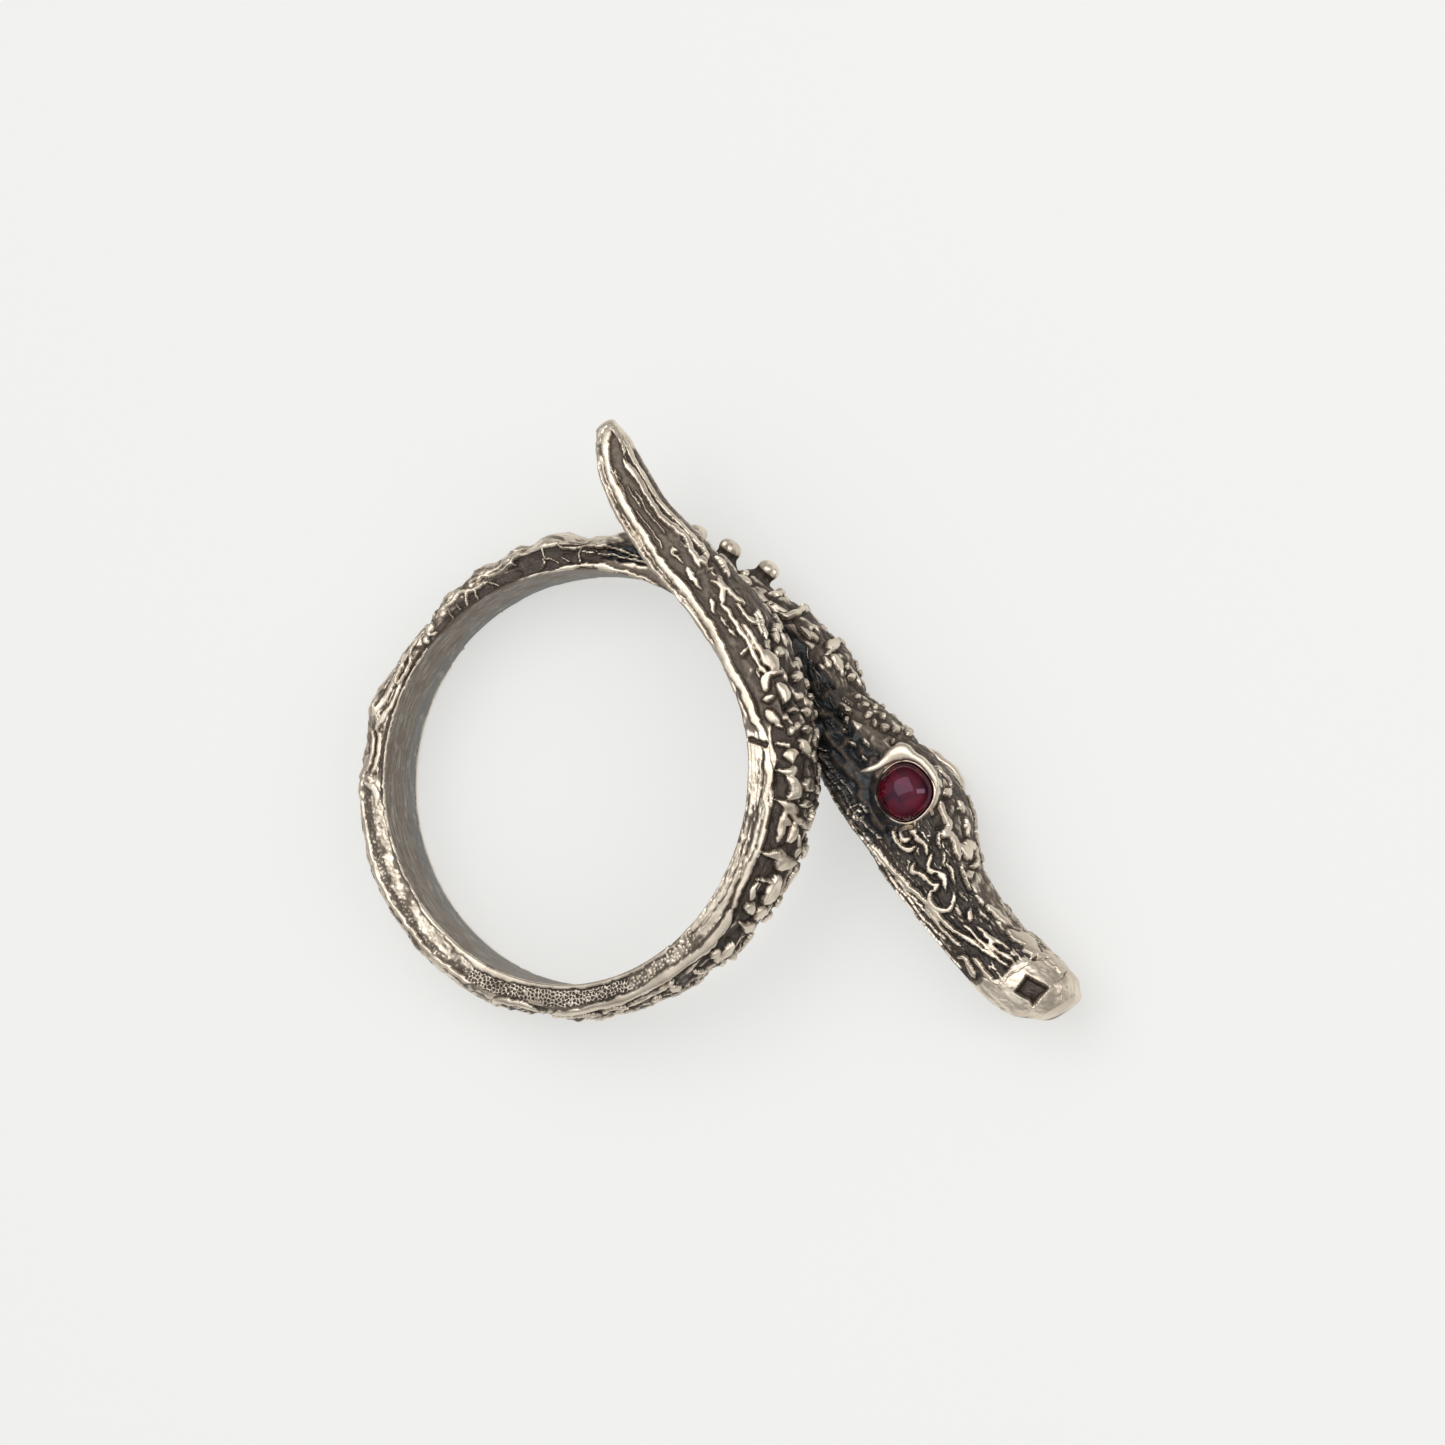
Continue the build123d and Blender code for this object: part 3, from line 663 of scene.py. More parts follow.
# Raised lines: half width, height above the base surface and polish, then strokes through
# points (q, r), or (q, r, half width)
line_rows = [
    # Inner rim and main ridge of the tail and the right of the turn
    (0.13, 0.08, 0.75,
     [(46, .78), (46.8, .66), (48, .63), (49, .62), (50, .58), (50.6, .50), (51.2, .58), (51.7, .53),
      (52.4, .50), (53.2, .42), (53.7, .34)]),
    (0.17, 0.12, 0.9,
     [(53.2, .42), (54, .30), (55, .25), (56, .14), (57, .19), (58, .26), (59, .26), (60, .30),
      (60.6, .36)]),
    (0.15, 0.12, 1.0,
     [(59.8, .20), (60.6, .28), (62, .33), (63, .38), (64, .40), (65, .39), (66, .36), (66.8, .42),
      (67.4, .5), (67.9, .75), (68.0, 1.1)]),
    (0.1, 0.06, 1.0, [(55, .06), (57, .05), (59, .06), (61, .05), (63, .08), (65, .08), (67, .06)]),
    (0.21, 0.1, 1.0,
     [(36.4, 1.32), (37, 1.17), (38, 1.10), (39, 1.04), (40, 1.0), (41, .97), (42, .88), (43, .88),
      (44, .90), (45, .86), (46, .78)]),
    (0.13, 0.12, 1.0,
     [(60.4, .88), (61, .98), (61.5, 1.10), (62, 1.2), (62.6, 1.12), (63, 1.02), (63.5, 1.0), (64, 1.10),
      (64.6, 1.09), (65, 1.12), (65.5, 1.05), (66, .95), (66.4, .93)]),
    (0.08, 0.08, 1.0, [(66.6, .98), (66.9, 1.1), (67.2, 1.2)]),
    (0.13, 0.06, 0.8, [(61.0, 1.45), (62.2, 1.5), (63.5, 1.45), (65, 1.5), (66.4, 1.4), (67.4, 1.5)]),
    # Scales of the tail
    (0.1, 0.14, 1.0,
     [(55.2, .88), (55.6, .79), (56.3, .75), (57, .70), (57.5, .72), (58, .72), (58.5, .69)],
     [(59.5, 1.38), (59.9, 1.52), (60.3, 1.62), (60.6, 1.55)]),
    (0.1, 0.15, 1.0, [(55.0, 1.12), (55.5, .98), (56, .92), (56.5, .85), (57, .84), (57.3, .80)]),
    (0.09, 0.14, 1.0,
     [(58.4, .71), (58.8, .84), (59.2, .94), (59.6, .86)],
     [(58.0, 1.12), (58.5, 1.0), (59.2, .99), (59.7, 1.06)],
     [(57.0, 1.06), (57.4, .97), (57.9, .97), (58.2, .92)],
     [(60.1, .95), (60.1, 1.12)]),
    (0.07, 0.12, 1.0, [(56.3, 1.15), (56.7, 1.22), (57.2, 1.34), (57.6, 1.4)]),
    (0.06, 0.1, 1.0, [(56.5, 1.08), (57.0, 1.15), (57.5, 1.28)]),
    (0.08, 0.12, 1.0, [(60.6, 1.25), (61.1, 1.4), (61.4, 1.6)]),
    (0.04, 0.08, 1.0, [(62.6, .82), (63.1, .83), (63.6, .81), (64.4, .84), (65, .81)]),
    (0.04, 0.07, 0.9,
     [(64.1, .70), (64.5, .73), (65.0, .69), (65.4, .70)],
     [(65.7, .62), (66.0, .56), (66.3, .60)]),
    (0.035, 0.06, 0.8,
     [(62.0, .55), (63.0, .60), (64.2, .58)],
     [(64.6, .50), (65.5, .53), (66.5, .50)]),
    # Spikes and scales on the right of the turn
    (0.1, 0.2, 1.0,
     [(45.75, 1.2, .05), (45.7, 1.45, .12), (45.7, 1.7, .28)],
     [(46.85, 1.5, .12), (47.3, 1.62, .32), (47.8, 1.5, .12)],
     [(49.05, 1.04, .06), (49.6, 1.05, .16), (50.05, 1.03, .10)],
     [(49.8, 1.1, .18), (49.75, 1.28, .06)],
     [(49.15, 1.35, .10), (49.45, 1.44, .22), (49.8, 1.42, .10)],
     [(50.2, 1.02, .06), (50.0, 1.35, .10), (49.75, 1.9, .12)],
     [(50.65, 1.12, .12), (50.9, 1.25, .20), (51.25, 1.1, .16), (51.35, .98, .05)],
     [(52.6, 1.38, .08), (52.4, 1.52, .20), (52.15, 1.68, .08)],
     [(52.58, .70, .03), (52.55, .85, .08), (52.5, 1.0, .10)],
     [(53.35, .85, .08), (53.6, .72, .18), (53.85, .66, .08)],
     [(54.0, 1.08, .08), (54.3, 1.14, .20), (54.6, 1.05, .12)]),
    (0.1, 0.18, 1.0,
     [(46.75, 1.02, .06), (47.1, .97, .10), (47.4, 1.0, .05)],
     [(53.65, 1.15, .05), (53.68, 1.28, .10), (53.62, 1.4, .05)],
     [(54.65, .74, .10), (54.95, .8, .16), (55.1, .95, .10), (55.0, 1.2, .08)]),
    (0.1, 0.16, 0.9, [(47.5, .92, .05), (47.6, 1.2, .07), (47.55, 1.5, .06)]),
    (0.1, 0.22, 1.0,
     [(48.5, .76, .03), (48.55, 1.0, .14), (48.6, 1.25, .22)],
     [(48.35, 1.42, .30), (48.4, 1.6, .24), (48.45, 1.9, .10)],
     [(50.52, .78, .03), (50.4, 1.0, .13), (50.25, 1.28, .20)],
     [(51.1, 1.48, .06), (51.15, 1.65, .24), (51.1, 1.82, .06)],
     [(51.58, .68, .03), (51.55, .88, .12), (51.6, 1.12, .17)]),
    (0.1, 0.16, 1.0,
     [(53.15, .92, .06), (53.25, .82, .08)],
     [(55.1, 1.05, .12), (55.5, 1.12, .25), (55.85, 1.02, .15)]),
    (0.1, 0.14, 1.0,
     [(40, 1.28), (41, 1.30), (41.6, 1.22), (42.3, 1.12)],
     [(43.1, 1.35), (43.2, 1.65), (43.5, 1.9)]),
    (0.13, 0.14, 1.0, [(43.9, 1.75), (44.1, 1.5), (44.4, 1.62), (44.8, 1.72)]),
    # Arches under the turn
    (0.14, 0.12, 1.0, [(34.0, 1.45), (34.3, 1.12), (34.8, .98), (35.3, .97), (35.8, 1.10), (36.1, 1.35)]),
    (0.12, 0.12, 1.0, [(36.5, 1.75), (36.8, 1.45), (37.4, 1.32), (38.1, 1.35), (38.6, 1.6)]),
    (0.1, 0.12, 1.0, [(38.8, 1.5), (39.1, 1.28), (39.6, 1.25), (39.9, 1.5)]),
    (0.16, 0.07, 1.0,
     [(29, .03), (30, 0), (31, .02), (32, .10), (33, .17), (34, .18), (34.8, .12), (35.6, .07), (37, .06),
      (39, .05), (41, .04), (43, .05)]),
    (0.12, 0.08, 1.0,
     [(24, .92), (25, .90), (26, .88), (27, .93), (28, .90), (29, .88), (30, .86), (31, .90), (32, .88),
      (33, .92)]),
    # Left and top of the turn
    (0.12, 0.09, 1.0, [(7.0, .10), (8, .20), (8.8, .16), (9.5, .08), (10.2, .0)]),
    (0.1, 0.08, 1.0, [(5.0, .02), (6, .10), (7, .12), (8, .05)]),
    (0.035, 0.09, 1.0, [(8.75, .28), (8.85, .6), (8.8, .95)]),
    (0.035, 0.08, 1.0,
     [(9.25, .28), (9.5, .45), (9.6, .52)],
     [(9.75, .30), (10, .48), (10.3, .60), (10.4, .86)],
     [(10.6, .28), (10.4, .42), (10.4, .6)],
     [(8, .66), (8.4, .62), (8.8, .66)]),
    (0.06, 0.1, 1.0,
     [(7.6, .90), (8.2, .90), (8.7, .88), (9.0, .80), (9.5, .79), (9.8, .95)],
     [(16.1, .12), (16.4, .28), (16.5, .6)]),
    (0.05, 0.09, 1.0,
     [(5.6, .50), (6.4, .54), (7.2, .56), (8.0, .58)],
     [(6.3, .66), (7.0, .74), (7.7, .82), (8.4, .88)],
     [(11.3, .97), (11.7, .85), (12.2, .93), (12.6, .85)]),
    (0.06, 0.12, 1.0,
     [(12.6, .18), (12.8, .32), (13.0, .48)],
     [(14.35, .11), (14.1, .62)],
     [(14.7, .18), (14.75, .52)],
     [(15.15, .11), (15.1, .52)]),
    (0.05, 0.12, 1.0, [(13.75, .10), (13.7, .5)]),
    (0.07, 0.12, 1.0, [(11.6, .66), (11.9, .78), (12.4, .66), (12.9, .72), (13.1, .86), (13.5, .78)]),
    (0.09, 0.12, 1.0,
     [(13.2, .62), (13.5, .50), (14.0, .62), (14.3, .80), (14.8, .70), (15.2, .76), (15.7, .66)]),
    (0.08, 0.13, 1.0,
     [(17.6, .52), (17.8, .30), (18.4, .25), (18.9, .34), (18.9, .5), (18.4, .56), (17.9, .60)]),
    (0.17, 0.05, 0.9, [(18.9, .25), (19.5, .27), (20.1, .34), (20.6, .5), (21.1, .64)]),
    (0.14, 0.05, 0.9, [(16.6, .76), (17.5, .70), (18.2, .63), (19, .59), (19.7, .66), (20.4, .78)]),
    (0.1, 0.06, 0.9, [(21.1, .56), (21.3, .37), (22, .31), (22.6, .36), (22.95, .52)]),
    (0.12, 0.06, 0.9, [(21.1, .88), (21.4, .65), (22, .57), (22.6, .66), (22.9, .86)]),
    (0.16, 0.06, 0.9, [(23.3, .80), (23.5, .45), (23.9, .28), (24.3, .35)]),
    (0.08, 0.08, 1.0,
     [(17, -.05), (18.5, -.04), (20, -.05), (21.5, -.04), (23, -.05), (25, -.03), (27, -.02), (29, .02)]),
    # Neck flank between the strands
    (0.025, 0.06, 0.55,
     [(-4.5, .97), (-4, .92), (-3.6, .85), (-3, .84), (-2, .83), (-1.5, .90), (-1.2, .97)],
     [(-3.2, .72), (-2.7, .78), (-2.2, .85), (-1.8, .87)],
     [(-5, .60), (-4, .62), (-3, .57), (-2, .56), (-1, .60), (0, .58)],
     [(-5.6, .72), (-4.8, .78), (-4.2, .74), (-3.6, .78)],
     [(-.5, .84), (.5, .86), (1.5, .82), (2.4, .86)],
     [(-1.6, .70), (-.8, .74), (0, .72), (.7, .78)]),
    (0.03, 0.07, 0.5,
     [(0, .55), (.6, .70), (1.2, .86)],
     [(.8, .60), (1.2, .74), (1.7, .80)]),
    (0.04, 0.1, 0.8, [(-5.75, .40), (-5.5, .34), (-5.2, .30)]),
    # Crown of the neck
    (0.12, 0.2, 1.0, [(.55, 1.0), (.28, 1.05), (.3, 1.4), (.38, 1.9)]),
    (0.1, 0.16, 1.0, [(3.9, 1.15), (4.3, 1.3), (4.7, 1.5), (5.0, 1.9)]),
    (0.07, 0.14, 1.0, [(-2.0, 1.12), (-1.85, 1.42), (-1.9, 1.5)]),
    # Curls and strands of the throat and jaw
    (0.04, 0.08, 0.85,
     [(-11, .10), (-10, .12), (-9, .10), (-8, .06), (-7, .08)],
     [(-9.0, .38), (-8.5, .36), (-8.3, .22), (-8.45, .14)]),
    (0.035, 0.08, 0.85, [(-10.6, .19), (-9.7, .18), (-9.3, .17), (-8.9, .12)]),
    (0.05, 0.09, 0.9, [(-8.95, .30), (-8.85, .22), (-8.65, .22), (-8.6, .29), (-8.8, .31)]),
    (0.03, 0.07, 0.6,
     [(-10.2, .32), (-9.4, .27), (-8.4, .25), (-7.4, .27), (-6.4, .22), (-5.4, .24)],
     [(-9.4, .21), (-8.4, .18), (-7.4, .20), (-6.4, .15), (-5.4, .17)]),
    (0.03, 0.07, 0.55, [(-8.0, .36), (-7.2, .34), (-6.4, .30), (-5.6, .33)]),
    (0.035, 0.08, 0.65,
     [(-16.6, .12), (-16, .10), (-15, .08), (-14, .05), (-13, .07), (-12, .04), (-11, .03)],
     [(-15.2, .22), (-14.5, .20), (-13.8, .14), (-13, .17), (-12, .13), (-11, .16), (-10, .13)]),
    (0.04, 0.07, 0.8, [(-14.2, .30), (-13.4, .26), (-12.6, .22), (-11.8, .21)]),
    (0.08, 0.1, 1.0, [(-17.2, .20), (-16.7, .26), (-16.3, .30), (-16.1, .22)]),
    # Flank of the snout
    (0.08, 0.13, 1.0,
     [(-18, .38), (-17.4, .38), (-16.8, .42), (-16.5, .41)],
     [(-12.1, 1.62), (-12.4, 1.72), (-12.2, 1.84)]),
    (0.07, 0.14, 1.0,
     [(-17, .60), (-16.3, .57), (-15.7, .50), (-15, .43), (-14.3, .40), (-13.6, .38), (-13, .35),
      (-12.6, .30), (-12.2, .28), (-11, .22), (-10, .18)],
     [(-14.2, .66), (-14.25, .52), (-13.9, .43), (-13.5, .43), (-13.2, .52)],
     [(-11.35, .62), (-11.2, .51), (-10.8, .47), (-10.4, .48), (-10.1, .53)]),
    (0.06, 0.11, 1.0, [(-15.8, .37), (-15.2, .33), (-14.4, .32), (-13.6, .33)]),
    (0.05, 0.11, 1.0,
     [(-17.7, .66), (-17.1, .63), (-16.4, .64), (-15.8, .60), (-15.2, .58)],
     [(-17.1, .82), (-16.5, .78), (-16, .73), (-15.5, .68)]),
    (0.06, 0.12, 1.0,
     [(-17.6, .76), (-16.9, .70), (-16.5, .69), (-16.2, .75)],
     [(-13.3, .52), (-13.2, .62), (-13.0, .58), (-12.5, .53), (-12.2, .49)]),
    (0.07, 0.13, 1.0,
     [(-15.25, .66), (-14.95, .72), (-14.7, .78)],
     [(-12.7, .68), (-12.4, .62), (-12.1, .69), (-11.9, .74)],
     [(-12.35, .50), (-12.05, .45), (-11.8, .53)]),
    (0.07, 0.12, 1.0,
     [(-14.2, .62), (-14.0, .70), (-13.75, .73)],
     [(-9.9, 1.55), (-9.3, 1.62), (-8.7, 1.58)]),
    (0.08, 0.14, 1.0, [(-13.5, .66), (-13.1, .72), (-12.7, .70)]),
    (0.06, 0.13, 1.0,
     [(-11.9, .68), (-11.5, .71), (-11, .66), (-10.7, .69)],
     [(-11.0, .60), (-10.75, .53), (-10.4, .56), (-10.5, .65), (-10.9, .64)]),
    (0.11, 0.14, 1.0, [(-14.9, .99), (-15.3, 1.06), (-15.8, 1.2), (-16.2, 1.32)]),
    (0.1, 0.14, 1.0,
     [(-12.7, 1.0), (-12.3, 1.07), (-11.9, 1.1), (-11.6, 1.0), (-11.4, .93), (-11.2, 1.05), (-10.8, 1.0),
      (-10.2, 1.05)]),
    (0.09, 0.14, 1.0,
     [(-13.1, 1.32), (-13.15, 1.55), (-12.95, 1.76)],
     [(-12.8, 1.32), (-12.4, 1.27), (-12.15, 1.2)]),
    (0.08, 0.1, 1.0, [(-17.9, .95), (-17.8, 1.1), (-17.9, 1.3)]),
    (0.1, 0.1, 1.0, [(-19.0, 1.30), (-18.5, 1.42), (-18.1, 1.34), (-18.0, 1.1)]),
]

# Raised scales: q, r, length, breadth, turn in degrees from the body's direction, height
scale_rows = [
    (46.4, 1.17, 0.45, 0.42, 0, 0.20), (52.15, 1.10, 0.48, 0.50, 0, 0.20),
    (53.0, 1.12, 0.30, 0.30, 0, 0.18), (53.1, 1.31, 0.32, 0.30, 0, 0.18), (53.0, 1.66, 0.30, 0.42, 0, 0.20),
    (53.6, 1.72, 0.28, 0.42, 0, 0.20), (54.25, 0.75, 0.24, 0.46, 0, 0.18),
    (54.15, 1.55, 0.32, 0.34, 0, 0.18), (55.8, 1.38, 0.26, 0.26, 0, 0.16),
    (44.5, 1.62, 0.80, 0.50, 0, 0.18), (46.4, 1.62, 0.50, 0.45, 0, 0.18), (52.1, 1.92, 0.40, 0.40, 0, 0.18),
    (50.5, 1.72, 0.26, 0.60, 10, 0.18), (54.8, 1.80, 0.36, 0.40, 0, 0.18),
    (56.6, 1.70, 0.30, 0.40, 0, 0.16), (44.2, 1.30, 0.40, 0.40, 0, 0.14), (42.0, 1.55, 0.50, 0.70, 0, 0.14),
    (41.0, 1.75, 0.40, 0.60, 0, 0.14), (60.15, 0.62, 1.10, 0.28, -12, 0.16),
    (61.45, 0.68, 0.80, 0.14, -8, 0.12), (61.7, 0.76, 0.40, 0.12, 0, 0.12),
    (58.7, 0.56, 0.75, 0.20, -25, 0.15), (57.85, 0.53, 0.48, 0.14, 0, 0.13),
    (57.2, 0.55, 0.50, 0.14, 0, 0.13), (56.3, 0.58, 0.22, 0.34, 15, 0.14),
    (55.3, 0.72, 0.30, 0.14, 0, 0.12), (60.6, 1.05, 0.45, 0.30, -20, 0.14),
    (55.7, 1.40, 0.26, 0.24, 0, 0.16), (56.3, 1.55, 0.36, 0.24, -30, 0.16),
    (54.1, 1.55, 0.30, 0.30, 0, 0.16), (-2.55, 1.26, 0.85, 0.42, 0, 0.20),
    (-2.3, 1.04, 0.45, 0.18, 0, 0.16), (-1.6, 1.62, 0.42, 0.90, 8, 0.20),
    (-0.65, 1.14, 0.60, 0.26, 0, 0.18), (-1.0, 1.26, 0.42, 0.20, 0, 0.16),
    (1.05, 1.12, 0.18, 0.34, 0, 0.18), (1.35, 1.62, 0.34, 0.70, -10, 0.20),
    (2.4, 1.30, 0.80, 0.42, 0, 0.20), (2.65, 1.68, 0.34, 0.50, 0, 0.18), (3.4, 1.42, 0.55, 0.50, -20, 0.20),
    (3.55, 1.05, 0.42, 0.28, 0, 0.18), (2.6, 1.04, 0.50, 0.20, 0, 0.16), (-6.4, 0.79, 0.50, 0.24, -8, 0.14),
    (-6.1, 0.68, 0.50, 0.20, 0, 0.12), (-5.4, 0.70, 0.30, 0.20, 20, 0.12),
    (-5.0, 0.78, 0.45, 0.24, -10, 0.13), (-6.9, 0.68, 0.30, 0.24, 0, 0.12),
    (-4.6, 0.86, 0.42, 0.34, 20, 0.16), (-5.75, 1.06, 0.32, 0.24, 0, 0.16),
    (-5.3, 1.10, 0.36, 0.42, 0, 0.17), (-6.1, 1.22, 0.34, 0.28, 0, 0.16), (-4.7, 1.26, 0.32, 0.28, 0, 0.16),
    (-6.4, 1.46, 0.44, 0.50, 0, 0.18), (-6.75, 1.75, 0.36, 0.50, 0, 0.17),
    (-5.0, 1.50, 0.32, 0.36, 0, 0.16), (-5.6, 1.45, 0.36, 0.30, 0, 0.14),
    (-3.25, 1.52, 0.28, 0.44, 0, 0.16), (-2.8, 1.52, 0.20, 0.30, 30, 0.14),
    (-4.2, 1.35, 0.30, 0.30, 0, 0.12), (-6.9, 1.10, 0.24, 0.22, 0, 0.14),
    (-16.2, 0.73, 0.50, 0.14, 0, 0.14), (-14.2, 0.80, 0.32, 0.08, 0, 0.11),
    (-13.0, 0.84, 0.62, 0.09, 0, 0.12), (-12.4, 0.83, 0.42, 0.08, 0, 0.12),
    (-13.5, 0.96, 0.60, 0.10, 0, 0.13), (-13.4, 1.12, 0.22, 0.28, 0, 0.14),
    (-11.6, 0.86, 0.40, 0.08, 0, 0.11), (-15.2, 0.86, 0.40, 0.07, 0, 0.10),
    (-14.6, 0.96, 0.34, 0.10, 0, 0.12), (-11.5, 1.62, 0.50, 0.16, 0, 0.15),
    (-10.7, 1.55, 0.36, 0.16, 20, 0.14), (-9.95, 1.35, 0.30, 0.40, 0, 0.12),
    (-17.5, 1.12, 0.44, 0.40, 0, 0.14), (-16.8, 1.10, 0.60, 0.30, 0, 0.14),
    (-17.1, 1.40, 0.55, 0.40, 0, 0.12), (-12.4, 1.45, 0.50, 0.30, 0, 0.13),
    (-10.3, 0.90, 0.40, 0.10, 0, 0.11), (12.9, 0.90, 0.45, 0.16, 0, 0.12),
    (16.2, 0.52, 0.50, 0.42, 40, 0.13), (16.7, 0.34, 0.34, 0.30, 0, 0.13),
    (15.4, 0.60, 0.40, 0.36, 0, 0.12), (14.7, 0.88, 0.60, 0.18, 0, 0.12), (12.0, 0.96, 0.60, 0.20, 0, 0.12),
]

# Cut lines: half width and depth, then strokes through points (q, r)
groove_rows = [
    (0.12, 0.2, [(52.9, .12), (52.78, .30), (52.6, .50)]),
    (0.07, 0.1,
     [(43.6, .74), (44.6, .74), (45.4, .70), (46, .65), (46.6, .55), (47.2, .47), (48, .38), (49, .35),
      (50.5, .36), (52.3, .42)]),
    (0.04, 0.05, [(48, .57), (49, .55), (50, .54), (50.4, .47)]),
    (0.03, 0.03,
     [(47, .16), (48.5, .20), (50, .22), (51.5, .20)],
     [(53.2, .26), (54.4, .16), (55.9, .05)]),
    (0.045, 0.08, [(44.0, .30), (46, .34), (48, .24), (50, .27), (52, .30)]),
    (0.035, 0.04, [(45.0, .12), (47, .10), (49, .12), (51, .10)]),
    (0.04, 0.06,
     [(-19.25, .98), (-19.2, 1.25), (-19.0, 1.6)],
     [(-18.1, 1.02), (-18.2, 1.25), (-18.4, 1.5)],
     [(59.5, .10), (61, .12), (63, .16), (65, .16), (66.8, .12)]),
    (0.16, 0.1, [(34.9, 1.28), (34.8, 1.6)]),
    (0.22, 0.1, [(37.4, 1.58), (37.5, 1.8)]),
    (0.14, 0.12,
     [(39.2, 1.42), (39.2, 1.6)],
     [(40.4, 1.45), (40.3, 1.65)]),
    (0.12, 0.1, [(41.6, 1.45), (41.3, 1.7)]),
    (0.045, 0.07, [(59, .16), (60.5, .20), (62, .24), (64, .26), (65.5, .24), (66.6, .24)]),
    (0.05, 0.08,
     [(19.1, .36), (19.6, .34), (20.1, .45), (20.4, .57)],
     [(18.0, .48), (18.3, .38), (18.7, .42)]),
    (0.07, 0.08, [(21.2, .66), (21.5, .50), (22, .46), (22.5, .49), (22.8, .60)]),
    (0.03, 0.05, [(17.0, .86), (18.0, .80), (19.2, .82), (20.2, .90)]),
    (0.1, 0.1, [(17.0, .1), (17.2, .35), (17.4, .55)]),
    (0.05, 0.07, [(-18.1, .45), (-18.0, .70), (-18.05, .92), (-17.95, 1.05)]),
]

# Pocket of the snout: q, r, side, turn in degrees, depth
pocket_row = (-19.05, 0.62, 0.98, 20.0, 0.42)


# Noise of the relief: seed, size along the body, size across it, how many times it is laid finer
noise_rows = {
    "q_shift": (31, 1.0, 0.8, 1),
    "r_shift": (32, 0.8, 0.6, 1),
    "streaks": (41, 1.5, 0.17, 3),
    "patches": (42, 1.1, 0.7, 1),
    "lumps": (71, 0.9, 0.7, 3),
    "grit": (81, 0.22, 0.2, 2),
}

# Cells of the relief: size along the body, size across it, seed, how uneven they are
cell_rows = {
    "chips": (0.72, 0.50, 51, 0.95),
    "scales": (0.62, 0.56, 61, 0.8),
    "pebbles": (0.165, 0.165, 66, 0.85),
}


def laid(under, over, share):
    """One field laid over another by a share."""
    return under * (1 - share) + over * share


def relief(patch):
    """Works out the relief, polish and patina of a patch before strokes are laid on it."""
    q, s = patch.q2, patch.s
    face = np.where(patch.r2 > 2, 4 - patch.r2, patch.r2)
    skin = ramp(patch.r2, -0.06, 0.0) * (1 - ramp(patch.r2, 4.0, 4.06))
    waves = {name: patch.wave(*row) for name, row in noise_rows.items()}
    q_shift, r_shift = 0.45 * waves["q_shift"], 0.06 * waves["r_shift"]
    streaks = 1 - np.abs(waves["streaks"]) * 4.5
    patches, lumps, grit = waves["patches"], waves["lumps"], waves["grit"]

    def cells_of(name, q_bend=0, s_bend=0):
        length, breadth, seed, jitter = cell_rows[name]
        return cells(q / length + q_bend, s / breadth + s_bend, seed, jitter)

    _, _, cell, tilt = cells_of("chips", 0.4 * patches, 0.3 * q_shift)
    patch.chips = chips = blurred(0.70 * tilt + 0.05 * (cell - 0.5), 3)
    near, second, cell, _ = cells_of("scales", 0.35 * patches)
    scales = ramp(second - near, 0.10, 0.42) * (0.35 + 0.65 * cell)
    near, second, cell, _ = cells_of("pebbles")
    net = 1 - ramp(second - near, 0.10, 0.40)
    pebbles = (1 - ramp(near, 0.22, 0.52)) * (0.45 + 0.55 * cell)
    bright_streak = ramp(streaks, 0.30, 0.8) * (0.35 + 0.65 * ramp(patches, -0.3, 0.2))
    ground = 0.05 * lumps + 0.2 * chips
    bright = np.full(q.shape, 0.3)
    shine = 0.35 + 0.5 * ramp(lumps, -0.1, 0.35)
    dark = np.full(q.shape, 0.25)
    for q0, q1, q_soft, r0, r1, r_soft, sunk, black, streak, chip, scale, lump, pebble, bare in zone_rows:
        share = window(q + q_shift, q0, q1, q_soft) * window(face + r_shift, r0, r1, r_soft)
        if not share.any():
            continue
        grains, web = max(pebble, 0), max(-pebble, 0)
        level = (-sunk + 0.05 * lump * lumps + streak * (0.06 * np.clip(streaks, -0.5, 1))
                 + chip * chips + scale * 0.17 * scales + 0.05 * (grains * pebbles + web * net)
                 + 0.022 * grit)
        glow = np.maximum.reduce([
            (1.0 - 0.5 * black) * streak * bright_streak,
            (0.75 - 0.6 * black) * ramp(chip * chips, 0.02, 0.12),
            scale * ramp(scales, 0.32, 0.62),
            grains * ramp(pebbles, 0.25, 0.55),
            web * (0.25 + 0.5 * net + 0.35 * lumps),
            0.25 * ramp(grit, 0.3, 0.7),
            bare * (0.9 + 0.9 * lumps - (1.4 - bare) * grit)])
        ground = laid(ground, level, share)
        shine = laid(shine, glow, share)
        dark = laid(dark, black, share)
        bright = laid(bright, bare, share)
    crest = softened(table_at(crest_rows, patch.q)[:, None], 10, 0)
    patch.swell = crest * window(face, 1.0, 3.0, 0.45) * skin
    patch.ground = ground * skin
    patch.shine = shine
    patch.dark = dark
    patch.plain = 1 - skin
    patch.soft = (1 - 0.8 * np.clip(1.3 * bright, 0, 1)) * table_at(moat_rows, patch.q)[:, None]


def carve(patch):
    """Adds the lines, scales and cuts that are listed in the tables."""
    for half, height, polish, *strokes in line_rows:
        for points in strokes:
            patch.line(half, height, polish, points)
    for half, depth, *strokes in groove_rows:
        for points in strokes:
            patch.groove(half, depth, points)
    for row in scale_rows:
        patch.blob(*row)
    patch.pocket(*pocket_row)


# Meshes

def add_field(mesh, name, values):
    """Gives a mesh a named field, of numbers or of vectors."""
    kind, part = ("FLOAT_VECTOR", "vector") if values.ndim == 2 else ("FLOAT", "value")
    mesh.attributes.new(name, kind, "POINT").data.foreach_set(part, values.astype(np.float32).ravel())


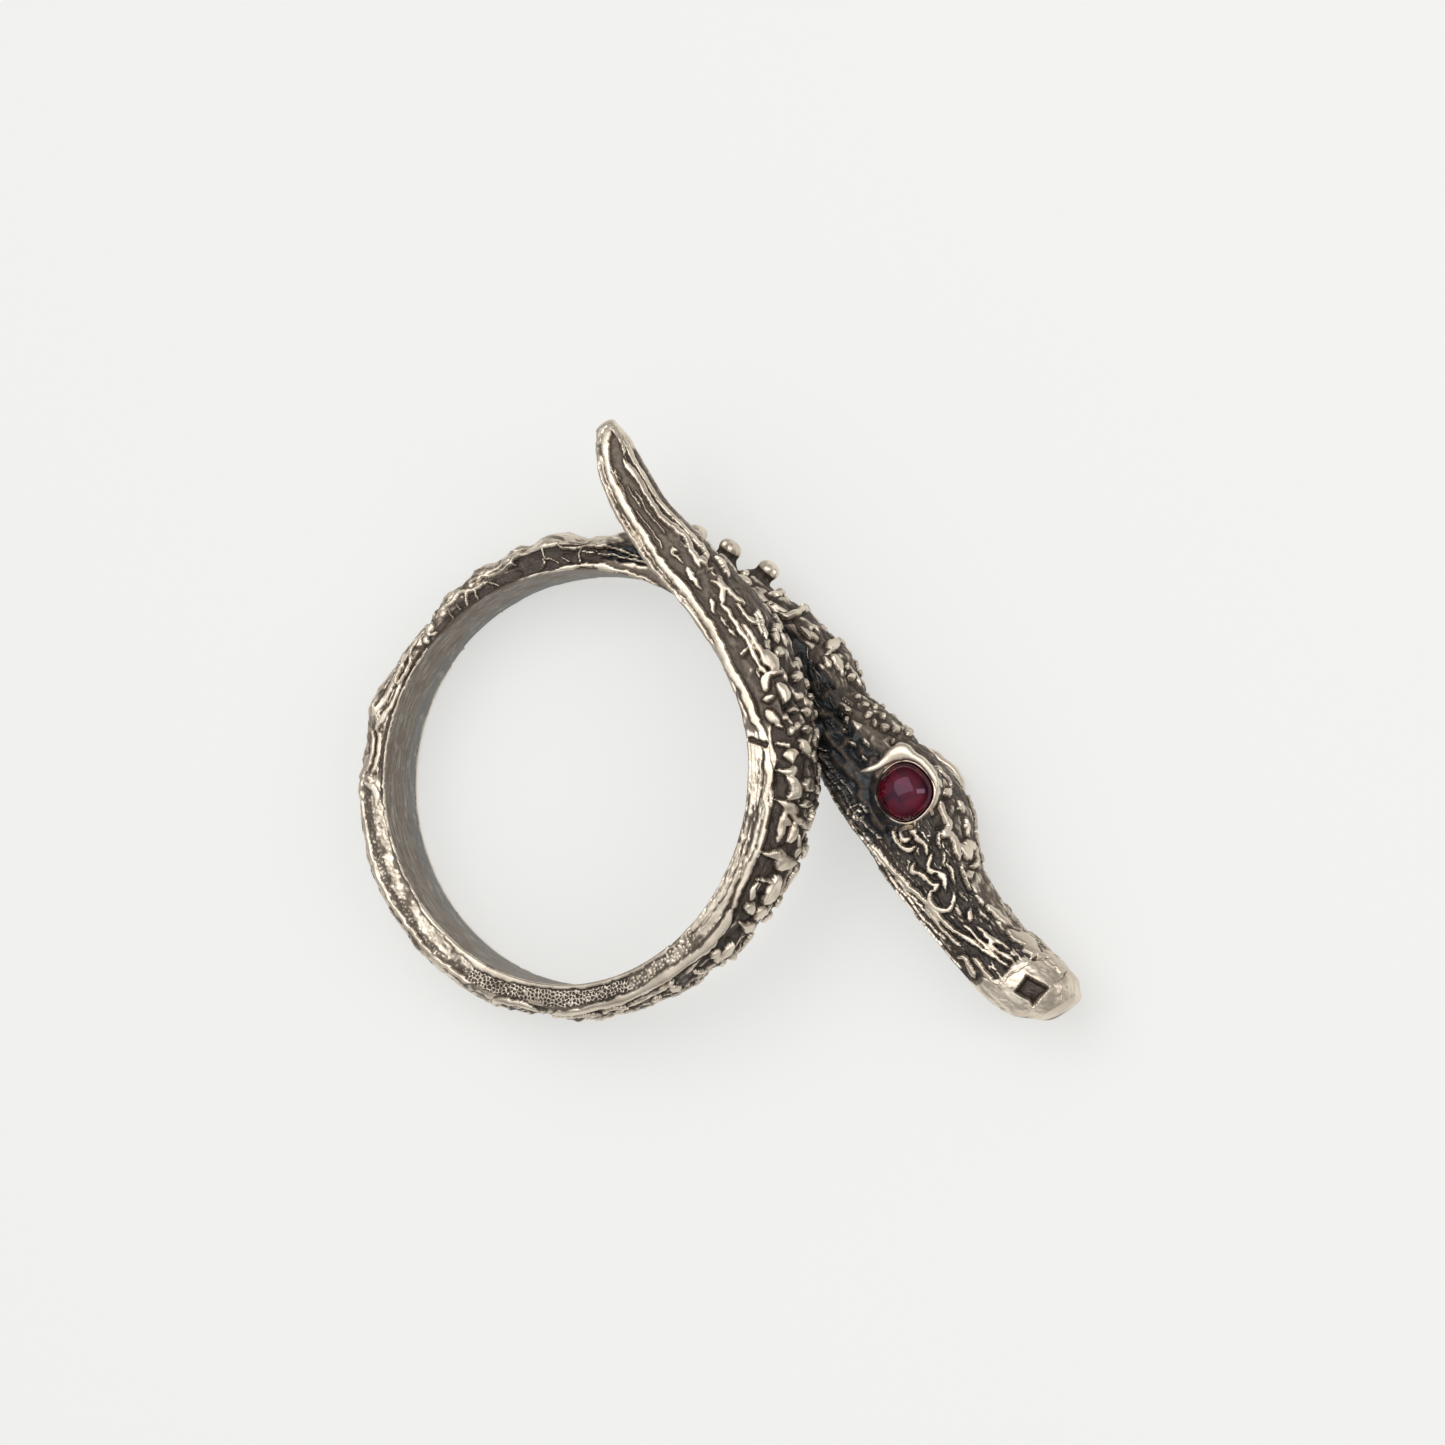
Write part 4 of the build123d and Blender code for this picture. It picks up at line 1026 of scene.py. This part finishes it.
def add_piece(name, points, faces, normals, material, fields):
    """Makes a smooth piece from points in millimetres, four-sided faces, normals and fields."""
    mesh = bpy.data.meshes.new(name)
    mesh.vertices.add(len(points))
    mesh.vertices.foreach_set("co", (points * mm).astype(np.float32).ravel())
    loops = faces.ravel().astype(np.int32)
    mesh.loops.add(len(loops))
    mesh.loops.foreach_set("vertex_index", loops)
    mesh.polygons.add(len(faces))
    mesh.polygons.foreach_set("loop_start", np.arange(0, len(loops), faces.shape[1], dtype=np.int32))
    mesh.polygons.foreach_set("use_smooth", np.ones(len(faces), bool))
    mesh.update(calc_edges=True)
    mesh.normals_split_custom_set_from_vertices(normals.astype(np.float32))
    for field, values in fields.items():
        add_field(mesh, field, values)
    mesh.materials.append(material)
    piece = bpy.data.objects.new(name, mesh)
    bpy.context.scene.collection.objects.link(piece)
    return piece


def grid_faces(rows, columns):
    """Faces of a grid of rows by columns whose last column joins the first."""
    i = np.arange(rows - 1)[:, None]
    j = np.arange(columns)[None, :]
    k = (j + 1) % columns
    a, b = i * columns + j, i * columns + k
    c, d = (i + 1) * columns + k, (i + 1) * columns + j
    return np.stack([a, d, c, b], 2).reshape(-1, 4)


def eye_place(x, y):
    """Place in the plane of the hole from distances towards the snout and the crown side."""
    start = math.radians(bypass_angle)
    return x * math.sin(start) + y * math.cos(start), -x * math.cos(start) + y * math.sin(start)


def sink_eye_seats(points):
    """Lowers the flanks round the eye axis so that the stones stand in their seats."""
    centre_x, centre_y = eye_place(eye_along, eye_out)
    gap = np.hypot(points[..., 0] - centre_x, points[..., 1] - centre_y)
    level = seat_floor + 0.40 * ramp(gap, 1.15, 1.34) + 1.2 * ramp(gap, 1.30, seat_reach)
    above = points[..., 2] - eye_middle
    sunk = eye_middle + np.clip(above, -level, level)
    points[..., 2] = np.where(gap < seat_reach, sunk, points[..., 2])
    return points


def compose(patch):
    """Height, polish and patina of a patch with its strokes laid on the ground."""
    moat = patch.moat * patch.soft
    ground = patch.ground - moat_depth * moat
    dark = np.maximum(patch.dark, moat_dark * moat * (1 - patch.cover))
    dark = np.maximum(dark, pit_dark * patch.pit)
    raised = patch.raised + stroke_chips * patch.chips * ramp(patch.raised, 0.12, 0.20)
    height = ground * (1 - patch.cover) + raised * patch.cover + patch.swell - patch.cut
    proud = height - blurred(height, proud_blur)
    edge = height - blurred(height, edge_blur)
    shine = patch.shine * (1 - 0.9 * moat)
    shine = shine * (1 - patch.cover) + stroke_shine * patch.polished * patch.cover
    wear = 4.0 * np.clip(proud, -0.2, 0.06) + 6.0 * np.clip(edge, -0.04, 0.03)
    wear = wear * (1 - 0.85 * ramp(dark, 0.7, 0.9))
    shine = shine + wear * (0.35 + 0.65 * patch.soft) - 5.0 * np.clip(patch.cut, 0, 1) - patch.pit
    dark = dark + np.clip(-3.0 * proud - 4.0 * edge, -0.15, 0.12) * (1 - patch.plain)
    return height, np.where(patch.plain > 0.5, wall_shine, shine), dark


def close_end(points, normals, fields, tip, bulge):
    """Points and normals with a rounded cap on the first end (tip 0) or the last (tip -1)."""
    ring, around = points[tip], normals[tip]
    centre = ring.mean(0)
    ahead = (ring - points[1 if tip == 0 else -2]).mean(0)
    ahead = ahead / np.linalg.norm(ahead)
    angle = np.linspace(0, 0.5 * math.pi, cap_steps)[1:, None, None]
    inward = np.maximum(np.cos(angle), 0.01)
    cap = centre + (ring - centre) * inward + ahead * bulge * np.sin(angle)
    cap_normals = around * np.cos(angle) * bulge + ahead * np.sin(angle)
    cap_normals /= np.linalg.norm(cap_normals, axis=2, keepdims=True)

    def joined(body, end):
        return np.concatenate([end[::-1], body] if tip == 0 else [body, end])

    for name, values in fields.items():
        held = np.repeat(values[tip][None], len(cap), 0)
        fields[name] = joined(values, 0 * held + cap_polish if name == "shine" else held)
    return joined(points, cap), joined(normals, cap_normals)


def add_stretch(name, q_first, q_last, material):
    """Builds one stretch of the cast body, worked out a little wider than it is kept."""
    patch = Patch(max(body_first, q_first - patch_margin), min(body_last, q_last + patch_margin))
    relief(patch)
    carve(patch)
    height, shine, dark = compose(patch)
    points = sink_eye_seats(clear_of_bore(patch.base + height[..., None] * patch.normal))
    normals = patch.normals_of(points)
    beyond = np.clip(np.maximum(q_first - patch.q, patch.q - q_last) / seam_overlap, 0, 1)
    points = points - seam_dip * beyond[:, None, None] * normals
    keep = (patch.q >= q_first - seam_overlap) & (patch.q <= q_last + seam_overlap)
    grain = np.stack([patch.q2, patch.s, 0 * patch.s], 2)
    fields = {"shine": np.clip(shine, 0, 1)[keep], "patina": dark[keep], "plain": patch.plain[keep],
              "grain": grain[keep]}
    points, normals = points[keep], normals[keep]
    if q_first <= body_first:
        points, normals = close_end(points, normals, fields, 0, snout_bulge)
    if q_last >= body_last:
        points, normals = close_end(points, normals, fields, -1, tail_bulge)
    faces = grid_faces(*points.shape[:2])
    points, normals = points.reshape(-1, 3), normals.reshape(-1, 3)
    a, b, c = (points[faces[:, k]] for k in (0, 1, 2))
    if (np.cross(b - a, c - a) * normals[faces[:, 0]]).sum() < 0:
        faces = faces[:, ::-1]
    fields = {key: values.reshape(-1, 3) if values.ndim == 3 else values.ravel()
              for key, values in fields.items()}
    piece = add_piece(name, points, faces, normals, material, fields)
    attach(piece, "root")
    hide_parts("ring_body")


# Materials

# Screen colours from 0 to 255, in pairs that a colour varies between
brown_tones = (80, 71, 62), (141, 128, 113)
dark_brown_tones = (34, 28, 24), (86, 74, 64)
black_tones = (10, 12, 14), (62, 65, 69)
speck_tone = (166, 152, 136)
wall_tones = (90, 82, 73), (150, 140, 126)
wall_stain_tone = (104, 86, 70)
# Painted shade: bluish grey laid on the bore wall towards the floor side
wall_painted_shade_tone = (118, 124, 126)
wall_pale_tone = (190, 181, 168)
metal_tones = (236, 224, 206), (212, 198, 180)
stone_tones = (34, 1, 9), (88, 2, 20)
# Painted shade: dark rim tone of the stone, laid where its surface turns away from the view
stone_rim_painted_shade_tone = (32, 3, 18)
# The floor's base colour is kept grey and made up by its glow, painted light that keeps its shadows faint
floor_tones = (156, 156, 155), (162, 162, 160)
floor_glow_tone = (242, 242, 240)


def srgb(r, g, b):
    """Linear colour of a screen colour given from 0 to 255."""
    return tuple((c / 255 / 12.92 if c / 255 <= 0.04045 else ((c / 255 + 0.055) / 1.055) ** 2.4)
                 for c in (r, g, b)) + (1.0,)


class Nodes:
    """Short calls for building a node material."""

    def __init__(self, name):
        self.material = bpy.data.materials.new(name)
        self.material.use_nodes = True
        self.tree = self.material.node_tree
        self.tree.nodes.clear()

    def add(self, kind, **settings):
        node = self.tree.nodes.new(kind)
        for key, value in settings.items():
            setattr(node, key, value)
        return node

    def put(self, node, **values):
        """Sets or links inputs of a node by name, with _ for each space."""
        for socket, value in values.items():
            self.feed(node.inputs[socket.replace("_", " ")], value)

    def feed(self, target, value):
        if isinstance(value, bpy.types.NodeSocket):
            self.tree.links.new(value, target)
        else:
            target.default_value = value

    def feed_all(self, node, values):
        """Sets or links the first inputs of a node in order."""
        for target, value in zip(node.inputs, values):
            self.feed(target, value)
        return node.outputs[0]

    def field(self, name, output="Fac"):
        return self.add("ShaderNodeAttribute", attribute_name=name).outputs[output]

    def math(self, operation, a, b):
        return self.feed_all(self.add("ShaderNodeMath", operation=operation), (a, b))

    def scaled(self, vector, scale):
        return self.feed_all(self.add("ShaderNodeVectorMath", operation="MULTIPLY"), (vector, scale))

    def span(self, value, low, high, to_low=0.0, to_high=1.0):
        """Smooth step from to_low at low to to_high at high."""
        node = self.add("ShaderNodeMapRange", interpolation_type="SMOOTHSTEP")
        return self.feed_all(node, (value, low, high, to_low, to_high))

    def mix(self, share, a, b):
        """Colour between a and b."""
        node = self.add("ShaderNodeMix", data_type="RGBA")
        for socket, value in ((0, share), (6, a), (7, b)):
            self.feed(node.inputs[socket], value)
        return node.outputs[2]

    def tones(self, share, pair):
        """Screen colour between two tones."""
        return self.mix(share, *(srgb(*tone) for tone in pair))

    def noise(self, vector, scale, detail=3.0, roughness=0.5, distortion=0.0):
        node = self.add("ShaderNodeTexNoise")
        self.put(node, Vector=vector, Scale=scale, Detail=detail, Roughness=roughness, Distortion=distortion)
        return node.outputs["Fac"]

    def wobble(self, value, amount):
        """Value from 0 to 1 as a change about nothing."""
        return self.math("MULTIPLY", self.math("SUBTRACT", value, 0.5), amount)

    def place(self):
        """Place on the model, in millimetres."""
        return self.scaled(self.add("ShaderNodeTexCoord").outputs["Object"], (1 / mm, 1 / mm, 1 / mm))

    def finish(self, shader):
        """Sends a shader to the surface and gives the material."""
        self.feed(self.add("ShaderNodeOutputMaterial").inputs[0], shader.outputs[0])
        return self.material


def hollow_colour(n, where, fine, patina):
    """Brown to black patina of the hollows."""
    brown = n.tones(fine, brown_tones)
    dark_brown = n.tones(n.noise(where, 2.6, 5.0, 0.6), dark_brown_tones)
    black = n.tones(fine, black_tones)
    speck = n.span(n.noise(where, 11.0, 2.0, 0.7), 0.56, 0.70, 0.0, 0.25)
    hollow = n.mix(n.span(patina, 0.25, 0.6), brown, dark_brown)
    hollow = n.mix(speck, hollow, srgb(*speck_tone))
    return n.mix(n.span(patina, 0.75, 1.0), hollow, black)


def wall_colour(n, where, grain, broad, brushed):
    """Brushed grey-brown of the plain bore wall, with painted bluish shade towards the floor side."""
    parts = n.add("ShaderNodeSeparateXYZ")
    n.put(parts, Vector=where)
    pale = n.span(n.noise(n.scaled(grain, (1.4, 2.2, 1.0)), 1.0, 6.0, 0.75), 0.50, 0.66, 0.0, 0.45)
    wall = n.tones(n.span(brushed, 0.38, 0.62), wall_tones)
    wall = n.mix(n.span(broad, 0.4, 0.7, 0.0, 0.75), wall, srgb(*wall_stain_tone))
    # Painted shade: the wall turns bluish grey towards the floor side
    wall = n.mix(n.span(parts.outputs["Z"], -1.6, -3.6, 0.0, 0.75), wall, srgb(*wall_painted_shade_tone))
    return n.mix(pale, wall, srgb(*wall_pale_tone))


def cast_metal():
    """Pale polished metal on the high points and black-brown patina in the hollows."""
    n = Nodes("cast_metal_finish")
    where = n.place()
    grain = n.field("grain", "Vector")
    shine, patina, plain = n.field("shine"), n.field("patina"), n.field("plain")
    fine = n.noise(where, 7.0, 4.0, 0.6)
    broad = n.noise(where, 0.9, 3.0, 0.5)
    brushed = n.noise(n.scaled(grain, (0.7, 9.0, 1.0)), 1.0, 5.0, 0.65)
    polish = n.span(n.math("ADD", shine, n.wobble(fine, 0.35)), 0.34, 0.72)
    polish = n.math("MULTIPLY", polish, n.math("SUBTRACT", 1.0, plain))
    hollow = hollow_colour(n, where, fine, patina)
    hollow = n.mix(plain, hollow, wall_colour(n, where, grain, broad, brushed))
    metal = n.tones(n.span(broad, 0.35, 0.65), metal_tones)
    rough = n.math("SUBTRACT", n.span(polish, 0.0, 1.0, 0.50, 0.34), n.span(patina, 0.75, 1.0, 0.0, 0.14))
    bump = n.add("ShaderNodeBump")
    n.put(bump, Strength=0.25, Distance=0.00004,
          Height=n.math("ADD", n.noise(where, 14.0, 4.0, 0.6), brushed))
    shader = n.add("ShaderNodeBsdfPrincipled")
    n.put(shader, Base_Color=n.mix(polish, hollow, metal), Metallic=n.span(polish, 0.0, 1.0, 0.45, 1.0),
          Roughness=n.math("ADD", rough, n.wobble(fine, 0.25)), Normal=bump.outputs[0])
    return n.finish(shader)


def ruby():
    """Deep red polished stone with painted shade on its rim: its colour darkens from the core to the rim tone
    as the surface turns away from the view.
    """
    n = Nodes("red_stone_finish")
    facing = n.add("ShaderNodeLayerWeight")
    n.put(facing, Blend=0.35)
    cloud = n.noise(n.place(), 1.4, 3.0, 0.5, 0.6)
    core = n.tones(n.span(cloud, 0.35, 0.7), stone_tones)
    # Painted shade: the stone darkens towards its rim as its surface turns away from the view
    colour = n.mix(n.span(facing.outputs["Facing"], 0.2, 0.85), core, srgb(*stone_rim_painted_shade_tone))
    shader = n.add("ShaderNodeBsdfPrincipled")
    n.put(shader, Base_Color=colour, Roughness=0.09, IOR=1.6, Specular_Tint=(0.9, 0.5, 0.72, 1))
    return n.finish(shader)


# Eyes, their seats and brows, and the ball-headed spines

# Profile of the eye seat's wall, as distance from the eye's axis and level: crown side, jaw side
crown_wall = [(1.12, 1.60), (1.21, 1.94), (1.25, 2.06), (1.31, 2.11), (1.40, 2.04), (1.50, 1.85),
              (1.55, 1.50), (1.52, 1.05), (1.42, 0.60), (1.15, 0.15), (0.80, -0.20)]
jaw_wall = [(1.12, 1.60), (1.20, 1.90), (1.235, 2.00), (1.28, 2.03), (1.33, 1.98), (1.38, 1.85),
            (1.44, 1.60), (1.46, 1.40), (1.46, 1.25), (1.42, 1.10), (1.36, 0.90)]

# Brow ridge: angle round the eye, distance from its axis, level, half width, half height
brow_rows = [
    (54, 1.36, 1.86, 0.04, 0.06),
    (62, 1.40, 1.94, 0.10, 0.13),
    (80, 1.43, 2.00, 0.15, 0.18),
    (97, 1.45, 2.04, 0.18, 0.20),
    (115, 1.50, 2.07, 0.20, 0.21),
    (132, 1.56, 2.10, 0.23, 0.22),
    (148, 1.71, 2.12, 0.37, 0.23),
    (162, 1.68, 2.13, 0.33, 0.21),
    (178, 1.56, 2.14, 0.22, 0.19),
    (192, 1.58, 2.18, 0.17, 0.17),
    (203, 1.76, 2.20, 0.14, 0.15),
    (210, 2.02, 2.16, 0.08, 0.10),
    (213, 2.16, 2.10, 0.03, 0.05),
]

# Flare of the brow towards the crown: same columns
flare_rows = [
    (147, 1.70, 2.12, 0.26, 0.20),
    (150, 1.84, 1.98, 0.23, 0.26),
    (153, 1.92, 1.58, 0.20, 0.32),
    (155, 1.93, 1.00, 0.14, 0.28),
]

# Profile of a spine as distance from its axis and height, and how tall each spine is against it
spine_profile = [(0.85, -0.35), (0.66, -0.08), (0.50, 0.10), (0.43, 0.24), (0.43, 0.38), (0.46, 0.52),
                 (0.44, 0.70), (0.32, 0.86), (0.15, 0.94), (0.01, 0.96)]
spine_heights = (1.0, 1.0, 1.05, 1.35)
spine_rows, spine_steps = 30, 32

# Floor, lights and camera in metres, lens and sensor in millimetres
floor_half = 0.6
# Glow of the floor, painted light that lifts the shadows on it
floor_glow = 0.585
softbox_rows = [
    # name, position, size, power
    ("key_light", (-0.04, 0.12, 0.36), (0.34, 0.30), 0.48),
    ("side_light", (0.26, 0.02, 0.22), (0.10, 0.20), 0.2),
]
camera_position = Vector((71.67, -10.47, 187.43)) * mm
camera_aim = Vector((6.319, 2.323, -1.294)) * mm
camera_lens = 114.8
camera_sensor = 36

# How the surround brightens from the horizon upwards
sky_rise = {"From Min": 0.1, "From Max": 0.95, "To Min": 0.20, "To Max": 0.88}


def vertex_normals(points, faces):
    """Smooth normals of a small mesh."""
    a, b, c, d = (points[faces[:, k]] for k in range(4))
    face = np.cross(c - a, d - b)
    normal = np.zeros_like(points)
    for k in range(4):
        np.add.at(normal, faces[:, k], face)
    return normal / (np.linalg.norm(normal, axis=1, keepdims=True) + 1e-12)


def small_piece(name, points, faces, material, fields, replaces=()):
    """Builds a small smooth piece that rides on the ring."""
    points = points.reshape(-1, 3)
    piece = add_piece(name, points, faces, vertex_normals(points, faces), material, fields)
    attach(piece, "root")
    if replaces:
        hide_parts(*replaces)


def metal_fields(shine, dark):
    """Fields of a small piece of metal, from its polish at each point and one depth of patina."""
    return {"shine": shine.ravel(), "patina": np.full(shine.size, dark), "plain": np.zeros(shine.size)}


def eye_points(reach, angle, level, side):
    """Points round an eye from distances to its axis, angles and levels, in the part's frame."""
    x, y = eye_place(eye_along + reach * np.cos(angle), eye_out + reach * np.sin(angle))
    return np.stack([x, y, eye_middle + side * level], -1)


def swept(rows, side, count, around):
    """Points and faces of a tube of oval section through brow rows, for one side of the head."""
    path = curve_through(rows, count)
    centre = eye_points(path[:, 1], np.radians(path[:, 0]), path[:, 2], side)
    ahead = np.gradient(centre, axis=0)
    ahead /= np.linalg.norm(ahead, axis=1, keepdims=True)
    across = np.cross(ahead, np.array([0, 0, float(side)]))
    across /= np.linalg.norm(across, axis=1, keepdims=True)
    lift = np.cross(across, ahead)
    turn = np.linspace(0, 2 * math.pi, around, endpoint=False)
    ring = (np.cos(turn)[None, :, None] * across[:, None, :] * path[:, 3][:, None, None]
            + np.sin(turn)[None, :, None] * lift[:, None, :] * path[:, 4][:, None, None])
    points = centre[:, None, :] + ring
    wobble = noise(*np.moveaxis(points / 0.35, -1, 0), 91)
    points = points + 0.10 * wobble[..., None] * ring
    return points.reshape(-1, 3), grid_faces(count, around)


def add_eye_seat(name, side, angle, outline):
    """Wall and bezel round a stone: smooth on top, pitted and dark below, with painted shade on the side
    between the neck and the jaw.
    """
    share = (0.5 + 0.5 * np.sin(angle))[None, :, None]
    crown, jaw = (curve_through(rows, wall_rows)[:, None, :] for rows in (crown_wall, jaw_wall))
    wall = crown * share + jaw * (1 - share)
    squared = 1 + (outline / eye_fit - 1)[None, :] * ramp(wall[..., 0], 1.7, 1.2)
    points = eye_points(wall[..., 0] * squared, angle, wall[..., 1], side)
    bumps = layered(*np.moveaxis(points / 0.3, -1, 0), 95, 2)
    down = np.linspace(0, 1, wall_rows)[:, None]
    depth = 0.06 * bumps * ramp(down, 0.4, 0.6)
    points[..., :2] += depth[..., None] * np.stack([np.cos(angle), np.sin(angle)], -1)[None]
    shine = (1 - 0.8 * ramp(down, 0.40, 0.52)) + 0.9 * ramp(bumps, 0.0, 0.4)
    shine = shine - 0.8 * ramp(down, 0.14, 0.06)
    # Painted shade: the polish falls on the side of the bezel between the neck and the jaw
    shine = shine * (1 - 0.75 * window(np.degrees(angle), 195, 285, 25))[None, :]
    small_piece("eye_seat_" + name, points, grid_faces(wall_rows, wall_steps), metal,
                metal_fields(np.clip(shine, 0, 1), 0.6))


def add_brow(name, side):
    """Brow ridge over an eye with its flare."""
    brow, brow_faces = swept(brow_rows, side, *brow_steps)
    flare, flare_faces = swept(flare_rows, side, *flare_steps)
    points = np.concatenate([brow, flare])
    faces = np.concatenate([brow_faces, flare_faces + len(brow)])
    small_piece("brow_" + name, points, faces, metal,
                metal_fields(np.full(len(points), 0.95), 0.3))


def add_stone(name, side, angle, outline):
    """Smooth domed stone on a short straight side."""
    lean = np.linspace(0, 0.5 * math.pi, dome_rows)[:, None]
    reach = np.sin(lean) * (eye_radius * stone_play * outline / eye_fit)[None, :]
    level = eye_girdle + (eye_apex - eye_girdle) * np.cos(lean) + 0 * reach
    reach = np.vstack([reach, reach[-1:]])
    level = np.vstack([level, level[-1:] * 0 + eye_seat])
    small_piece("ruby_" + name, eye_points(reach, angle, level, side), grid_faces(dome_rows + 1, wall_steps),
                stone, {}, ("ruby_eye_" + name,))


def add_eyes():
    """Both eyes with their seats and brows."""
    angle = np.linspace(0, 2 * math.pi, wall_steps, endpoint=False)
    turned = angle - math.radians(eye_turn)
    outline = np.abs(np.cos(turned)) ** eye_squareness + np.abs(np.sin(turned)) ** eye_squareness
    outline = outline ** (-1 / eye_squareness)
    for side, name in ((1, "left"), (-1, "right")):
        add_eye_seat(name, side, angle, outline)
        add_brow(name, side)
        add_stone(name, side, angle, outline)


def spine(number, turn_at):
    """Points of one ball-headed spine of the neck, slightly out of round and leaning."""
    q = np.array([bore_radius * math.radians(turn_at)])
    low, height, _, middle = body_columns(q)[0, :4]
    (base_xy,), (out_xy,) = spine_frame(q)
    foot = base_xy + out_xy * (low + height)
    far, high = (curve_through(spine_profile, spine_rows) * (1.0, spine_heights[number])).T
    around = np.linspace(0, 2 * math.pi, spine_steps, endpoint=False)
    wide = 1 + 0.22 * noise(3 * np.cos(around) + number, 3 * np.sin(around), 0 * around, 97)
    reach = far[:, None] * wide[None, :]
    lean = 0.10 * (number % 2 * 2 - 1) * np.clip(high, 0, 1)[:, None]
    ahead_xy = np.array([-out_xy[1], out_xy[0]])
    xy = foot + out_xy * high[:, None, None] + ahead_xy * (reach * np.cos(around) + lean)[..., None]
    return np.concatenate([xy, (middle + reach * np.sin(around))[..., None]], 2)


def add_spines():
    """The row of spines as one piece, polished on the balls and dark at the feet."""
    points = np.stack([spine(number, turn_at) for number, turn_at in enumerate(spine_turns)])
    faces = [grid_faces(spine_rows, spine_steps) + spine_rows * spine_steps * number
             for number in range(len(spine_turns))]
    up = np.tile(np.repeat(np.linspace(0, 1, spine_rows), spine_steps), len(spine_turns))
    small_piece("neck_spines", points, np.concatenate(faces), metal,
                metal_fields(0.10 + 0.85 * ramp(up, 0.45, 0.62), 0.7))


# Floor, light and camera

def studio_floor():
    """Plain pale floor that glows a little: painted light that keeps the shadows round the ring faint."""
    n = Nodes("studio_floor")
    where = n.add("ShaderNodeTexCoord").outputs["Object"]
    shader = n.add("ShaderNodeBsdfPrincipled")
    n.put(shader, Base_Color=n.tones(n.noise(where, 3.0), floor_tones), Emission_Color=srgb(*floor_glow_tone),
          Emission_Strength=floor_glow, Roughness=0.55, Specular_IOR_Level=0.2)
    return n.finish(shader)


def add_floor():
    """Floor under the lowest point of the ring."""
    mesh = bpy.data.meshes.new("studio_floor")
    corners = [(x * floor_half, y * floor_half, cad_low.z) for x, y in ((-1, -1), (1, -1), (1, 1), (-1, 1))]
    mesh.from_pydata(corners, [], [(0, 1, 2, 3)])
    mesh.materials.append(studio_floor())
    floor = bpy.data.objects.new("studio_floor", mesh)
    bpy.context.scene.collection.objects.link(floor)


def softbox(name, position, size, power):
    """Oblong area light that looks at the ring."""
    light = bpy.data.lights.new(name, "AREA")
    light.shape = "RECTANGLE"
    light.size, light.size_y = size
    light.energy = power
    lamp = bpy.data.objects.new(name, light)
    lamp.location = position
    lamp.rotation_euler = (-Vector(position)).to_track_quat("-Z", "Y").to_euler()
    bpy.context.scene.collection.objects.link(lamp)


def add_world():
    """White surround, brighter overhead than at the horizon."""
    world = bpy.data.worlds.new("studio")
    bpy.context.scene.world = world
    world.use_nodes = True
    tree = world.node_tree
    tree.nodes.clear()
    way = tree.nodes.new("ShaderNodeTexCoord")
    parts = tree.nodes.new("ShaderNodeSeparateXYZ")
    rise = tree.nodes.new("ShaderNodeMapRange")
    glow = tree.nodes.new("ShaderNodeBackground")
    out = tree.nodes.new("ShaderNodeOutputWorld")
    rise.interpolation_type = "SMOOTHSTEP"
    for socket, value in sky_rise.items():
        rise.inputs[socket].default_value = value
    glow.inputs["Color"].default_value = (1, 1, 1, 1)
    tree.links.new(way.outputs["Generated"], parts.inputs[0])
    tree.links.new(parts.outputs["Z"], rise.inputs["Value"])
    tree.links.new(rise.outputs["Result"], glow.inputs["Strength"])
    tree.links.new(glow.outputs[0], out.inputs[0])


def add_camera():
    """Camera at the photograph's angle."""
    data = bpy.data.cameras.new("camera")
    data.lens = camera_lens
    data.sensor_width = camera_sensor
    data.clip_start = 0.001
    camera = bpy.data.objects.new("camera", data)
    ahead = (camera_aim - camera_position).normalized()
    right = ahead.cross(Vector((0, 1, 0))).normalized()
    turn = Matrix((right, right.cross(ahead), -ahead)).transposed().to_4x4()
    turn.translation = camera_position
    camera.matrix_world = turn
    bpy.context.scene.collection.objects.link(camera)
    bpy.context.scene.camera = camera
    bpy.context.scene.view_settings.view_transform = "Standard"


metal = cast_metal()
stone = ruby()
for name, q_first, q_last in zip(stretch_names, stretch_ends, stretch_ends[1:]):
    add_stretch(name, q_first, q_last, metal)
add_eyes()
add_spines()
add_floor()
for row in softbox_rows:
    softbox(*row)
add_world()
add_camera()
